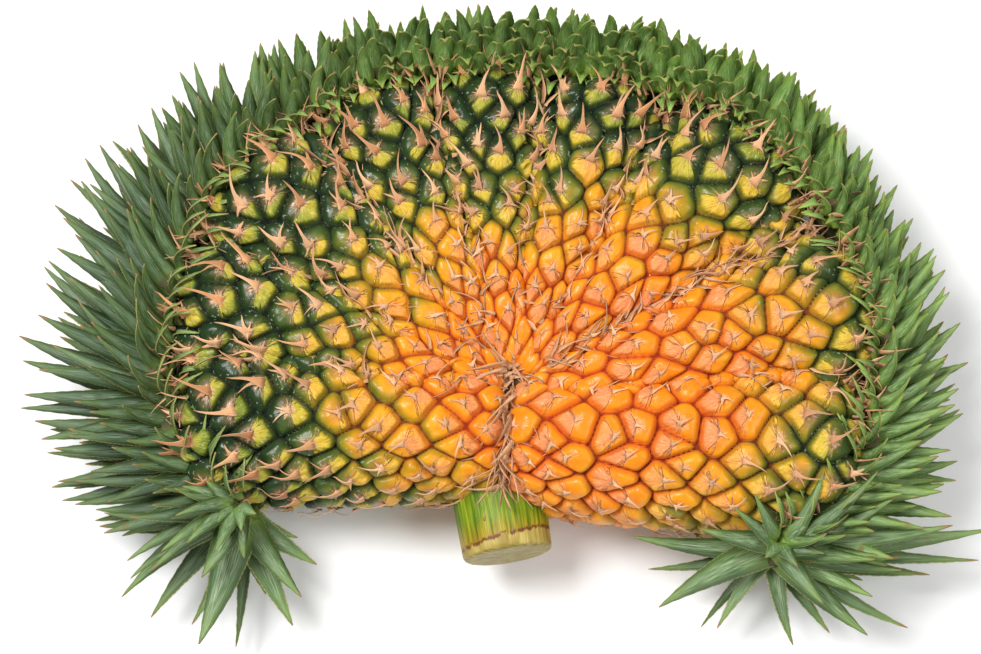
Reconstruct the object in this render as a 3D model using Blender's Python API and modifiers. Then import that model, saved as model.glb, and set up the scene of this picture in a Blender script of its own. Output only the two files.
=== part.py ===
"""A fan-shaped (fasciated) pineapple, whole and fresh, lying on its back with the shown side up.

The fruit is a fan of fused lobes that spread from a hub above the stem. Each lobe is a tapering finger
covered with a staggered lattice of eyes. A ridge of spiny leaves runs round the rim of the fan, and a cut
stem comes out of the notch between the two lowest lobes. Metres, +Z up, origin on the flat underside.
"""

import math
import random

import bmesh
import bpy
from mathutils import Vector

# Height of the fan's middle layer above the floor it rests on.
MID_HEIGHT = 0.0497
# The pressed-flat eye of the back that becomes the origin, in the fan's own X and Y.
REST_SPOT = (-0.0060, 0.0300)

LOBE_HALF_HEIGHT = 0.0485
FULL_HEIGHT_AT = 0.50
TAPER_POWER = 0.8
SECTION_POWER = 0.86
# A lobe's round foot and tip: their parts of the skin's length, and the axial positions where they join on.
FOOT_PART = 0.10
FOOT_REACH = 0.09
TIP_PART = 0.80
TIP_REACH = 0.84
END_MARGIN = 0.015
WEB_FOOT_HALF_WIDTH = 0.012
WEB_FOOT_HALF_HEIGHT = 0.024
WEB_HALF_WIDTH = 0.022
WEB_HALF_HEIGHT = 0.037
WEB_REACH = 0.93
HUB_FOOT = Vector((-0.002, -0.020))
HUB_TIP = Vector((-0.002, -0.098))
HUB_HALF_WIDTH = 0.018
HUB_HALF_HEIGHT = 0.030
EYE_RISE = 0.0036
GROOVE_DEPTH = 0.0024
EYE_INSET = 0.20
EYE_ASPECT = 1.45
BURIED = 0.002
FRUIT_TRIANGLES = 5700
GAP = 0.0003
CROWN_CLEARANCE = 0.0036

STEM_RADIUS = 0.0262
STEM_END_RADIUS = 0.0245
STEM_TOP = Vector((-0.010, -0.080, 0.045))
STEM_END = Vector((-0.001, -0.1355, 0.0485))
STEM_BEVEL = 0.0035
STEM_SIDES = 24
SOCKET_OVERRUN = 0.02

RIDGE_HALF_HEIGHT = 0.024
RIDGE_HALF_WIDTH = 0.016
RIDGE_SIDES = 8
RIDGE_STEP = 0.030
RIDGE_OFFSET = 0.004
RIDGE_END_FULLNESS = 0.8
PATH_STEPS = 12
LEAF_SPACING = 0.0205
LEAF_THICKNESS = 0.0026
LEAF_CHANNEL = 0.20
LEAF_TAPER = (1.7, 0.8)
LEAF_SWING = 7
LEAF_TILT = 6
STEEPEST = 88
ROSETTE_TURN = 125
ROSETTE_LEAVES = 6
ROSETTE_RADIUS = 0.009
ROSETTE_INSET = 0.016
CROWN_TRIANGLES = 7000
SEED = 7

# Each lobe: name, foot and tip of its mid line, half width at foot and tip, half height at the foot,
# columns and rows of eyes.
LOBES = (
    ("right_low", (-0.009, -0.071), (0.194, -0.077), 0.036, 0.051, 0.040, 12, 5),
    ("right_mid", (0.000, -0.052), (0.200, 0.007), 0.018, 0.050, 0.032, 12, 5),
    ("right_high", (0.000, -0.049), (0.144, 0.100), 0.014, 0.052, 0.029, 12, 5),
    ("top_right", (0.000, -0.047), (0.059, 0.134), 0.012, 0.038, 0.028, 10, 5),
    ("top_left", (-0.001, -0.047), (-0.015, 0.139), 0.012, 0.037, 0.028, 10, 5),
    ("left_high", (-0.002, -0.048), (-0.084, 0.127), 0.012, 0.043, 0.028, 11, 5),
    ("left_mid", (-0.003, -0.050), (-0.156, 0.082), 0.014, 0.052, 0.029, 12, 5),
    ("left_side", (-0.002, -0.053), (-0.187, 0.012), 0.018, 0.044, 0.031, 11, 5),
    ("left_low", (0.005, -0.068), (-0.188, -0.057), 0.034, 0.049, 0.040, 12, 5),
)
RIDGE_START = (-0.141, -0.121)
RIDGE_FINISH = (0.137, -0.140)

# Each row of leaves: height on the ridge, shift outward, rise at the root, bend to the tip (degrees),
# length, width, cuts along it.
LEAF_ROWS = (
    (0.78, -0.002, 74, -6, 0.042, 0.0140, 1),
    (0.50, 0.003, 42, -26, 0.068, 0.0165, 1),
    (0.10, 0.006, 10, -14, 0.090, 0.0165, 2),
    (-0.34, 0.004, -20, 20, 0.082, 0.0165, 1),
    (-0.70, 0.002, -40, 38, 0.058, 0.0150, 1),
)
# How long the leaves are along the ridge, from its lower left end over the top to its lower right end.
LEAF_REACH = (0.70, 0.82, 0.86, 0.60, 0.43, 0.37, 0.37, 0.41, 0.46, 0.56, 0.72)
# How far the leaves lean towards the shown side along the ridge, in degrees.
LEAF_LEAN = (0, 0, 6, 22, 42, 52, 52, 44, 32, 14, 0)

GREEN_RIND = (0.16, 0.21, 0.04, 1.0)
LEAF_GREEN = (0.13, 0.25, 0.12, 1.0)
STEM_GREEN = (0.36, 0.52, 0.10, 1.0)


def clear_scene():
    for obj in list(bpy.data.objects):
        bpy.data.objects.remove(obj, do_unlink=True)


def new_collection(name):
    collection = bpy.data.collections.new(name)
    bpy.context.scene.collection.children.link(collection)
    return collection


def new_material(name, colour, roughness):
    material = bpy.data.materials.new(name)
    material.use_nodes = True
    shader = material.node_tree.nodes["Principled BSDF"]
    shader.inputs["Base Color"].default_value = colour
    shader.inputs["Roughness"].default_value = roughness
    shader.inputs["Metallic"].default_value = 0.0
    return material


def new_object(name, bm, collection, material=None):
    bmesh.ops.recalc_face_normals(bm, faces=bm.faces)
    mesh = bpy.data.meshes.new(name)
    bm.to_mesh(mesh)
    bm.free()
    if material:
        mesh.materials.append(material)
    obj = bpy.data.objects.new(name, mesh)
    collection.objects.link(obj)
    return obj


def finger_profile(along):
    """From arc position 0..1 on a round-ended finger to its axial position and its fullness, both 0..1."""
    if along < FOOT_PART:
        turn = 0.5 * math.pi * along / FOOT_PART
        return FOOT_REACH * (1 - math.cos(turn)), math.sin(turn)
    if along > TIP_PART:
        turn = 0.5 * math.pi * (along - TIP_PART) / (1 - TIP_PART)
        return TIP_REACH + (1 - TIP_REACH) * math.sin(turn), math.cos(turn)
    share = (along - FOOT_PART) / (TIP_PART - FOOT_PART)
    return FOOT_REACH + share * (TIP_REACH - FOOT_REACH), 1.0


def finger_fullness(axial):
    """How full a finger is at an axial position 0..1, the inverse of its profile."""
    if axial <= 0 or axial >= 1:
        return 0.0
    if axial < FOOT_REACH:
        return math.sqrt(1 - (1 - axial / FOOT_REACH) ** 2)
    if axial > TIP_REACH:
        return math.sqrt(1 - ((axial - TIP_REACH) / (1 - TIP_REACH)) ** 2)
    return 1.0


def finger_frame(lobe):
    """The foot, the axis and the sideways direction of a lobe."""
    foot = Vector((*lobe[1], MID_HEIGHT))
    axis = Vector((*lobe[2], MID_HEIGHT)) - foot
    return foot, axis, Vector((-axis.y, axis.x, 0.0)).normalized()


def finger_half_sizes(lobe, axial):
    """The half width and half height of a lobe at an axial position."""
    foot_width, tip_width, foot_height = lobe[3:6]
    top_height = lobe[8] if len(lobe) > 8 else LOBE_HALF_HEIGHT
    swell = math.sin(0.5 * math.pi * min(1.0, axial / FULL_HEIGHT_AT))
    half_width = foot_width + (tip_width - foot_width) * axial ** TAPER_POWER
    return half_width, foot_height + (top_height - foot_height) * swell


def finger_point(lobe, around, along, lift):
    """The point of a lobe at a turn round it (0..1) and an arc position along it, lifted off its skin."""
    foot, axis, side = finger_frame(lobe)
    axial, full = finger_profile(along)
    half_width, half_height = finger_half_sizes(lobe, axial)
    turn = 2 * math.pi * around
    across, up = math.cos(turn), math.sin(turn)
    across = math.copysign(abs(across) ** SECTION_POWER, across)
    up = math.copysign(abs(up) ** SECTION_POWER, up)
    skin = foot + axis * axial + side * across * half_width * full + Vector((0, 0, up * half_height * full))
    outward = side * math.cos(turn) + Vector((0, 0, math.sin(turn)))
    outward = outward * full + axis.normalized() * (1 - full) * (1 if along > 0.5 else -1)
    return skin + outward.normalized() * lift


def inside_finger(lobe, point, depth):
    """Whether a point lies inside a lobe, deeper than the given depth."""
    foot, axis, side = finger_frame(lobe)
    axial = (point - foot).dot(axis) / axis.length_squared
    full = finger_fullness(axial)
    if full < 0.05:
        return False
    half_width, half_height = finger_half_sizes(lobe, axial)
    across = abs((point - foot).dot(side)) / max(half_width * full - depth, 0.001)
    up = abs(point.z - MID_HEIGHT) / max(half_height * full - depth, 0.001)
    return across ** (2 / SECTION_POWER) + up ** (2 / SECTION_POWER) < 1


def close_finger(bm):
    """Welds the seam of a rolled-up grid and closes its two ends."""
    bmesh.ops.remove_doubles(bm, verts=bm.verts, dist=0.00001)
    bmesh.ops.dissolve_degenerate(bm, dist=0.00001, edges=bm.edges)
    open_edges = [edge for edge in bm.edges if edge.is_boundary]
    bmesh.ops.holes_fill(bm, edges=open_edges, sides=0)


def eyed_lobe(lobe, collection):
    """A lobe whose skin is a staggered lattice of raised eyes; those buried in other lobes stay flat."""
    columns, rows = lobe[6:8]
    others = [other for other in LOBES if other is not lobe]
    bm = bmesh.new()
    bmesh.ops.create_grid(bm, x_segments=columns, y_segments=rows, size=0.5)
    for vert in bm.verts:
        vert.co.x = (vert.co.x + 0.5) * columns
        vert.co.y = (vert.co.y + 0.5) * rows * EYE_ASPECT
    straight = [edge for edge in bm.edges if not edge.is_boundary]
    bmesh.ops.poke(bm, faces=bm.faces)
    bmesh.ops.dissolve_edges(bm, edges=straight, use_verts=False)
    grooves = set(bm.verts)

    def place(flat, lift):
        along = END_MARGIN + (1 - 2 * END_MARGIN) * flat.y / (rows * EYE_ASPECT)
        return finger_point(lobe, flat.x / columns, along, lift)

    eyes = []
    for face in bm.faces:
        centre = place(face.calc_center_median(), 0.0)
        if not any(inside_finger(other, centre, BURIED) for other in others):
            eyes.append(face)
    bmesh.ops.inset_individual(bm, faces=eyes, thickness=EYE_INSET, use_even_offset=True)
    for vert in bm.verts:
        lift = -GROOVE_DEPTH if vert in grooves else EYE_RISE
        vert.co = place(vert.co, lift)
    close_finger(bm)
    bmesh.ops.triangulate(bm, faces=bm.faces)
    return new_object(lobe[0], bm, collection)


def smooth_lobe(lobe, collection, grow, around=12, along=15):
    """A plain lobe of the same form, larger all round by the given amount."""
    bm = bmesh.new()
    bmesh.ops.create_grid(bm, x_segments=around, y_segments=along, size=0.5)
    for vert in bm.verts:
        position = END_MARGIN + (1 - 2 * END_MARGIN) * (vert.co.y + 0.5)
        vert.co = finger_point(lobe, vert.co.x + 0.5, position, grow)
    close_finger(bm)
    bmesh.ops.triangulate(bm, faces=bm.faces)
    return new_object(lobe[0] + "_plain", bm, collection)


def webs():
    """The lower flesh between neighbouring lobes and at the hub, which makes the bottoms of the furrows."""
    hub_sizes = (HUB_HALF_WIDTH, HUB_HALF_WIDTH, HUB_HALF_HEIGHT, 8, 8, HUB_HALF_HEIGHT)
    found = [("web_hub", HUB_FOOT, HUB_TIP, *hub_sizes)]
    for first, second in zip(LOBES, LOBES[1:]):
        foot = (Vector(first[1]) + Vector(second[1])) / 2
        heading = (Vector(first[2]) - foot).normalized() + (Vector(second[2]) - foot).normalized()
        reach = ((Vector(first[2]) - foot).length + (Vector(second[2]) - foot).length) / 2 * WEB_REACH
        tip = foot + heading.normalized() * reach
        name = f"web_{first[0]}_{second[0]}"
        widths = (WEB_FOOT_HALF_WIDTH, WEB_HALF_WIDTH)
        found.append((name, foot, tip, *widths, WEB_FOOT_HALF_HEIGHT, 8, 8, WEB_HALF_HEIGHT))
    return found


def box_below(collection, top):
    bm = bmesh.new()
    bmesh.ops.create_cube(bm, size=1.0)
    bmesh.ops.translate(bm, verts=bm.verts, vec=(0, 0, top - 0.5))
    return new_object("below_floor", bm, collection)


def apply_boolean(obj, operation, collection=None, other=None, solver="EXACT"):
    """Applies one Boolean to an object, with a collection or another object."""
    modifier = obj.modifiers.new(operation.title(), "BOOLEAN")
    modifier.operation = operation
    modifier.solver = solver
    if collection:
        modifier.operand_type = "COLLECTION"
        modifier.collection = collection
    else:
        modifier.object = other
    apply_modifiers(obj)


def apply_modifiers(obj):
    bpy.context.view_layer.update()
    graph = bpy.context.evaluated_depsgraph_get()
    finished = bpy.data.meshes.new_from_object(obj.evaluated_get(graph))
    obj.modifiers.clear()
    old = obj.data
    obj.data = finished
    bpy.data.meshes.remove(old)


def thin_out(obj, triangles):
    """Merges the smallest facets, such as slivers along joins, down to a number of triangles."""
    bm = bmesh.new()
    bm.from_mesh(obj.data)
    bmesh.ops.triangulate(bm, faces=bm.faces)
    bm.to_mesh(obj.data)
    bm.free()
    modifier = obj.modifiers.new("Thin", "DECIMATE")
    modifier.ratio = min(1.0, triangles / len(obj.data.polygons))
    apply_modifiers(obj)


def remove_objects(collection):
    for obj in list(collection.objects):
        bpy.data.objects.remove(obj, do_unlink=True)
    bpy.data.collections.remove(collection)


def keep_largest_body(obj):
    """Drops loose scraps, and turns the mesh to triangles."""
    bm = bmesh.new()
    bm.from_mesh(obj.data)
    unseen = set(bm.verts)
    bodies = []
    while unseen:
        stack = [unseen.pop()]
        body = set(stack)
        while stack:
            vert = stack.pop()
            for edge in vert.link_edges:
                other = edge.other_vert(vert)
                if other not in body:
                    body.add(other)
                    stack.append(other)
        unseen -= body
        bodies.append(body)
    bodies.sort(key=len, reverse=True)
    scraps = [vert for body in bodies[1:] for vert in body]
    bmesh.ops.delete(bm, geom=scraps, context="VERTS")
    bmesh.ops.triangulate(bm, faces=bm.faces)
    bm.to_mesh(obj.data)
    bm.free()


def build_fruit(collection, cutters, material):
    lobes = new_collection("lobes")
    first = eyed_lobe(LOBES[0], collection)
    for lobe in LOBES[1:]:
        eyed_lobe(lobe, lobes)
    for web in webs():
        smooth_lobe(web, lobes, 0.0, around=8, along=8)
    first.name = "fruit"
    first.data.materials.append(material)
    apply_boolean(first, "UNION", collection=lobes)
    remove_objects(lobes)
    thin_out(first, FRUIT_TRIANGLES)
    apply_boolean(first, "DIFFERENCE", other=box_below(cutters, 0.0))
    socket = stem_rod("stem_socket", cutters, STEM_RADIUS + GAP, STEM_RADIUS + GAP, -GAP, SOCKET_OVERRUN)
    apply_boolean(first, "DIFFERENCE", other=socket)
    keep_largest_body(first)
    return first


def stem_rod(name, collection, top_radius, end_radius, inset, overrun, material=None):
    """A tapered round rod on the stem's axis, from inset inside its top to overrun past its end."""
    axis = (STEM_END - STEM_TOP).normalized()
    top = STEM_TOP + axis * inset
    end = STEM_END + axis * overrun
    bm = bmesh.new()
    depth = (end - top).length
    bmesh.ops.create_cone(
        bm, cap_ends=True, segments=STEM_SIDES, radius1=top_radius, radius2=end_radius, depth=depth
    )
    turn = Vector((0, 0, 1)).rotation_difference(axis).to_matrix()
    bmesh.ops.rotate(bm, verts=bm.verts, cent=(0, 0, 0), matrix=turn)
    bmesh.ops.translate(bm, verts=bm.verts, vec=(top + end) / 2)
    return new_object(name, bm, collection, material)


def build_stem(collection, material):
    stem = stem_rod("stem", collection, STEM_RADIUS, STEM_END_RADIUS, 0.0, 0.0, material)
    bevel = stem.modifiers.new("Edges", "BEVEL")
    bevel.width = STEM_BEVEL
    bevel.segments = 2
    bevel.limit_method = "ANGLE"
    return stem


def ridge_path():
    """A smooth line of points round the rim of the fan, through the tips of the lobes."""
    marks = [RIDGE_START] + [lobe[2] for lobe in reversed(LOBES)] + [RIDGE_FINISH]
    marks = [Vector((x, y, MID_HEIGHT)) for x, y in marks]
    ends = [2 * marks[0] - marks[1]] + marks + [2 * marks[-1] - marks[-2]]
    line = []
    for index in range(1, len(ends) - 2):
        before, start, finish, after = ends[index - 1 : index + 3]
        for step in range(PATH_STEPS):
            t = step / PATH_STEPS
            bend = (2 * start) + (finish - before) * t
            bend += (2 * before - 5 * start + 4 * finish - after) * t ** 2
            bend += (3 * start - before - 3 * finish + after) * t ** 3
            line.append(bend / 2)
    line.append(marks[-1])
    return line


def along_path(line, distance):
    """The place and forward direction at a distance along a path of points."""
    left = distance
    for start, finish in zip(line, line[1:]):
        span = (finish - start).length
        if left <= span:
            return start + (finish - start) * (left / span), (finish - start).normalized()
        left -= span
    forward = (line[-1] - line[-2]).normalized()
    return line[-1] + forward * left, forward


def path_length(line):
    return sum((finish - start).length for start, finish in zip(line, line[1:]))


def build_ridge(line, collection, material):
    """The core of the crown: an oval tube with round ends along the rim of the fan."""
    total = path_length(line)
    count = round(total / RIDGE_STEP)
    bm = bmesh.new()
    bmesh.ops.create_cone(bm, cap_ends=True, segments=RIDGE_SIDES, radius1=1.0, radius2=1.0, depth=count)
    for cut in range(1, count):
        parts = bm.verts[:] + bm.edges[:] + bm.faces[:]
        level = (0, 0, cut - count / 2)
        bmesh.ops.bisect_plane(bm, geom=parts, dist=0.0001, plane_co=level, plane_no=(0, 0, 1))
    for vert in bm.verts:
        share = (vert.co.z + count / 2) / count
        place, forward = along_path(line, share * total)
        outward = Vector((-forward.y, forward.x, 0))
        end = min(share, 1 - share) * count
        full = RIDGE_END_FULLNESS if end < 0.01 else 1.0
        across = outward * (RIDGE_OFFSET + vert.co.x * RIDGE_HALF_WIDTH * full)
        vert.co = place + across + Vector((0, 0, vert.co.y * RIDGE_HALF_HEIGHT * full))
    bmesh.ops.triangulate(bm, faces=bm.faces)
    return new_object("crown", bm, collection, material)


def leaf(name, collection, root, heading, rise, bend, length, width, cuts):
    """A channelled, tapering leaf: a thin four-sided spike, bent along its length."""
    bm = bmesh.new()
    bmesh.ops.create_cone(bm, cap_ends=True, segments=4, radius1=1.0, radius2=0.0, depth=1.0)
    bmesh.ops.remove_doubles(bm, verts=bm.verts, dist=0.0001)
    for cut in range(cuts):
        station = (cut + 1) / (cuts + 1) - 0.5
        parts = bm.verts[:] + bm.edges[:] + bm.faces[:]
        bmesh.ops.bisect_plane(bm, geom=parts, dist=0.0001, plane_co=(0, 0, station), plane_no=(0, 0, 1))
    out = Vector((math.cos(heading), math.sin(heading), 0))
    side = Vector((-out.y, out.x, 0))
    facing = -1 if rise > 0 else 1
    for vert in bm.verts:
        share = vert.co.z + 0.5
        angle = math.radians(rise + bend * share)
        middle = math.radians(rise + bend * share / 2)
        place = root + (out * math.cos(middle) + Vector((0, 0, math.sin(middle)))) * length * share
        normal = (Vector((0, 0, math.cos(angle))) - out * math.sin(angle)) * facing
        full = (1 - share ** LEAF_TAPER[0]) ** LEAF_TAPER[1] if share < 0.999 else 0.0
        if abs(vert.co.x) > abs(vert.co.y):
            edge = math.copysign(1, vert.co.x) if full else 0
            vert.co = place + side * edge * full * width / 2 + normal * full * width * LEAF_CHANNEL
        else:
            face = math.copysign(1, vert.co.y) if full else 0
            vert.co = place + normal * face * full * LEAF_THICKNESS / 2
    bmesh.ops.triangulate(bm, faces=bm.faces)
    return new_object(name, bm, collection)


def blend_at(values, share):
    """A value read between even marks at a share of the way along the ridge."""
    position = share * (len(values) - 1)
    step = min(int(position), len(values) - 2)
    return values[step] + (values[step + 1] - values[step]) * (position - step)


def leaf_places(line, row):
    """Where a row's leaves stand: share along the ridge and heading, with a rosette round each end."""
    total = path_length(line)
    count = round(total / LEAF_SPACING)
    places = []
    for index in range(count):
        share = (index + 0.5 * (row % 2)) / (count - 0.5)
        forward = along_path(line, share * total)[1]
        places.append((share, math.atan2(forward.x, -forward.y)))
    for share, turn in ((ROSETTE_INSET, ROSETTE_TURN), (1 - ROSETTE_INSET, -ROSETTE_TURN)):
        forward = along_path(line, share * total)[1]
        normal = math.atan2(forward.x, -forward.y)
        for step in range(1, ROSETTE_LEAVES + 1):
            swing = turn * (step - 0.5 * (row % 2)) / ROSETTE_LEAVES
            places.append((share, normal + math.radians(swing)))
    return places


def build_leaves(line, collection):
    """Rows of leaves fan out from the ridge, and turn right round its two ends as rosettes."""
    draw = random.Random(SEED)
    total = path_length(line)
    for row, (level, shift, rise, bend, length, width, cuts) in enumerate(LEAF_ROWS):
        for number, (share, heading) in enumerate(leaf_places(line, row)):
            place, forward = along_path(line, share * total)
            outward = Vector((-forward.y, forward.x, 0))
            root = place + outward * shift + Vector((0, 0, level * RIDGE_HALF_HEIGHT))
            if share in (ROSETTE_INSET, 1 - ROSETTE_INSET):
                root += Vector((math.cos(heading), math.sin(heading), 0)) * ROSETTE_RADIUS
            heading += math.radians(draw.uniform(-LEAF_SWING, LEAF_SWING))
            lean = blend_at(LEAF_LEAN, share) * (0.5 + 0.5 * level)
            tilt = min(rise + lean, STEEPEST) + draw.uniform(-LEAF_TILT, LEAF_TILT)
            size = blend_at(LEAF_REACH, share)
            reach = length * size * draw.uniform(0.90, 1.06)
            breadth = width * (0.6 + 0.4 * size)
            name = f"leaf_{row}_{number}"
            leaf(name, collection, root, heading, tilt, bend, reach, breadth, cuts)


def build_crown(collection, cutters, material):
    line = ridge_path()
    crown = build_ridge(line, collection, material)
    leaves = new_collection("leaves")
    build_leaves(line, leaves)
    apply_boolean(crown, "UNION", collection=leaves)
    remove_objects(leaves)
    clearance = new_collection("clearance")
    for lobe in LOBES:
        smooth_lobe(lobe, clearance, EYE_RISE + CROWN_CLEARANCE)
    for web in webs():
        smooth_lobe(web, clearance, CROWN_CLEARANCE, around=8, along=8)
    apply_boolean(crown, "DIFFERENCE", collection=clearance)
    remove_objects(clearance)
    keep_largest_body(crown)
    thin_out(crown, CROWN_TRIANGLES)
    return crown


def hide_cutters(cutters):
    for obj in cutters.objects:
        obj.hide_render = True
        obj.display_type = "WIRE"


def main():
    clear_scene()
    pineapple = new_collection("fan_shaped_pineapple")
    cutters = new_collection("cutters")
    fruit = build_fruit(pineapple, cutters, new_material("rind", GREEN_RIND, 0.45))
    stem = build_stem(pineapple, new_material("stem_green", STEM_GREEN, 0.55))
    crown = build_crown(pineapple, cutters, new_material("leaf_green", LEAF_GREEN, 0.5))
    hide_cutters(cutters)
    for obj in (fruit, stem, crown):
        obj.location = (-REST_SPOT[0], -REST_SPOT[1], 0)
        size = [round(1000 * length) for length in obj.dimensions]
        print(obj.name, len(obj.data.polygons), "faces, size", size, "mm")


main()
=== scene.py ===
# %% [markdown]
# # A pineapple that grew as a fan
#
# Most pineapples swell round one stalk. Now and then the growing tip splits again and again, and the fruit
# comes out as a broad flat fan: a row of fused lobes that spread from one hub, with a single band of leaves
# round the rim. This lesson builds the looks of such a fruit round solids that already have its size.
#
# The solids come in first and are never moved. Everything that is made here replaces one of them.

# %% Load the solids
import math
import random
from collections import namedtuple
from functools import partialmethod

import bmesh
import bpy
import numpy as np
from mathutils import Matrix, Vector


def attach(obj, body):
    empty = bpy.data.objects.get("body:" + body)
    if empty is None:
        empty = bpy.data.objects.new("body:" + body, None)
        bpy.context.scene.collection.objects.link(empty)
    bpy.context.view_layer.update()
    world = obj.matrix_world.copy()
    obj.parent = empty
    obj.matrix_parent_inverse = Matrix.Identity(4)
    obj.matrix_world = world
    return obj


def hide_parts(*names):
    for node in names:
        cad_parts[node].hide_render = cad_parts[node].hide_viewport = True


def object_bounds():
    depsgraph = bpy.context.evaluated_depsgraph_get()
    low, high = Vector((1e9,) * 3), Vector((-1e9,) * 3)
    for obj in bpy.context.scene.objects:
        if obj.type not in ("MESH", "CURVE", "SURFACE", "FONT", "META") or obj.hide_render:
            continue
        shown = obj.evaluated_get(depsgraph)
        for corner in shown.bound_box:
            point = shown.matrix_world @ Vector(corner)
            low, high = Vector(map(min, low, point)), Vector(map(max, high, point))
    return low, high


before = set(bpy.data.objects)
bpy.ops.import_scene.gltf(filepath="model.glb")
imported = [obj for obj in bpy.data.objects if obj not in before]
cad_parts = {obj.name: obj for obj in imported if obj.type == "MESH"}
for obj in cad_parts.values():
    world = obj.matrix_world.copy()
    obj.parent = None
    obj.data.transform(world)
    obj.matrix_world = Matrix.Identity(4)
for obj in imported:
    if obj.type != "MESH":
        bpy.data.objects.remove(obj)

CAD_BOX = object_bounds()
print("solids", sorted(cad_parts), "size", [round(b - a, 3) for a, b in zip(*CAD_BOX)])

# %% [markdown]
# ## The rule of a lobe
#
# Each lobe is a flattened finger: a mid line from the hub to the rim, a width and a height that grow along
# it, and a round end. One rule gives the point of its skin for a turn round the finger and a position along
# it. It could be a curve with a bevel object, but then there would be no simple way to ask where an eye
# sits. With a rule, the eyes, their bracts and the furrows can all ask the same question.

# %% The nine lobes and their skin
FAN_SHIFT = np.array((0.0060, -0.0300, 0.0))
MID_HEIGHT = 0.0497
LOBE_HALF_HEIGHT = 0.0485
FULL_HEIGHT_AT = 0.50
TAPER_POWER = 0.8
SECTION_POWER = 0.86
FOOT_PART = 0.10
FOOT_REACH = 0.09
TIP_PART = 0.80
TIP_REACH = 0.84
UP = np.array((0.0, 0.0, 1.0))

LOBE_PARTS = "name foot tip foot_width tip_width foot_height columns rows top_height"
Lobe = namedtuple("Lobe", LOBE_PARTS, defaults=(LOBE_HALF_HEIGHT,))
LOBES = [
    Lobe("right_low", (-0.009, -0.071), (0.194, -0.077), 0.036, 0.051, 0.040, 13, 7),
    Lobe("right_mid", (0.000, -0.052), (0.200, 0.007), 0.018, 0.050, 0.032, 13, 7),
    Lobe("right_high", (0.000, -0.049), (0.144, 0.100), 0.014, 0.052, 0.029, 13, 7),
    Lobe("top_right", (0.000, -0.047), (0.059, 0.134), 0.012, 0.038, 0.028, 11, 7),
    Lobe("top_left", (-0.001, -0.047), (-0.015, 0.139), 0.012, 0.037, 0.028, 11, 7),
    Lobe("left_high", (-0.002, -0.048), (-0.084, 0.127), 0.012, 0.043, 0.028, 12, 7),
    Lobe("left_mid", (-0.003, -0.050), (-0.156, 0.082), 0.014, 0.052, 0.029, 13, 7),
    Lobe("left_side", (-0.002, -0.053), (-0.187, 0.012), 0.018, 0.044, 0.031, 12, 7),
    Lobe("left_low", (0.005, -0.068), (-0.188, -0.057), 0.034, 0.049, 0.040, 13, 7),
]


def lobe_frame(lobe):
    """The foot of a lobe's mid line, the mid line itself, and the direction across it."""
    foot = np.array((*lobe.foot, MID_HEIGHT)) + FAN_SHIFT
    axis = np.array((*lobe.tip, MID_HEIGHT)) + FAN_SHIFT - foot
    side = np.array((-axis[1], axis[0], 0.0))
    return foot, axis, side / np.linalg.norm(side)


def lobe_profile(along):
    """From position along the skin, 0 to 1, to position along the mid line and fullness there."""
    foot_turn = 0.5 * np.pi * along / FOOT_PART
    tip_turn = 0.5 * np.pi * (along - TIP_PART) / (1 - TIP_PART)
    share = (along - FOOT_PART) / (TIP_PART - FOOT_PART)
    axial = FOOT_REACH + share * (TIP_REACH - FOOT_REACH)
    axial = np.where(along < FOOT_PART, FOOT_REACH * (1 - np.cos(foot_turn)), axial)
    axial = np.where(along > TIP_PART, TIP_REACH + (1 - TIP_REACH) * np.sin(tip_turn), axial)
    full = np.where(along < FOOT_PART, np.sin(foot_turn), 1.0)
    full = np.where(along > TIP_PART, np.cos(tip_turn), full)
    return axial, np.clip(full, 0.0, 1.0)


def lobe_half_sizes(lobe, axial):
    swell = np.sin(0.5 * np.pi * np.minimum(1.0, axial / FULL_HEIGHT_AT))
    width = lobe.foot_width + (lobe.tip_width - lobe.foot_width) * np.maximum(axial, 0.0) ** TAPER_POWER
    return width, lobe.foot_height + (lobe.top_height - lobe.foot_height) * swell


def lobe_skin(lobe, around, along):
    """Points on a lobe's skin and the outward directions there."""
    foot, axis, side = lobe_frame(lobe)
    axial, full = lobe_profile(along)
    width, height = lobe_half_sizes(lobe, axial)
    turn = 2 * np.pi * around
    across = np.sign(np.cos(turn)) * np.abs(np.cos(turn)) ** SECTION_POWER * width * full
    up = np.sign(np.sin(turn)) * np.abs(np.sin(turn)) ** SECTION_POWER * height * full
    points = foot + np.outer(axial, axis) + np.outer(across, side) + np.outer(up, UP)
    ahead = (1 - full) * np.where(along > 0.5, 1.0, -1.0)
    outward = np.outer(np.cos(turn) * full, side) + np.outer(np.sin(turn) * full, UP)
    outward += np.outer(ahead, axis / np.linalg.norm(axis))
    return points, outward / np.linalg.norm(outward, axis=1)[:, None]


def lobe_fullness(axial):
    foot = np.sqrt(np.clip(1 - (1 - axial / FOOT_REACH) ** 2, 0, 1))
    tip = np.sqrt(np.clip(1 - ((axial - TIP_REACH) / (1 - TIP_REACH)) ** 2, 0, 1))
    return np.where(axial < FOOT_REACH, foot, np.where(axial > TIP_REACH, tip, 1.0))


def lobe_height(lobe, points):
    """How high a lobe's smooth skin stands over its mid plane at X and Y places, or 0 outside it."""
    foot, axis, side = lobe_frame(lobe)
    offset = points - foot
    axial = offset @ axis / (axis @ axis)
    full = np.where((axial > 0) & (axial < 1), lobe_fullness(axial), 0.0)
    width, height = lobe_half_sizes(lobe, np.clip(axial, 0, 1))
    across = np.abs(offset @ side) / np.maximum(width * full, 1e-4)
    left = np.clip(1 - across ** (2 / SECTION_POWER), 0, 1)
    return height * full * left ** (SECTION_POWER / 2)


longest = max(np.linalg.norm(lobe_frame(lobe)[1]) for lobe in LOBES)
print(len(LOBES), "lobes, longest", round(longest, 3), "m")
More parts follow.
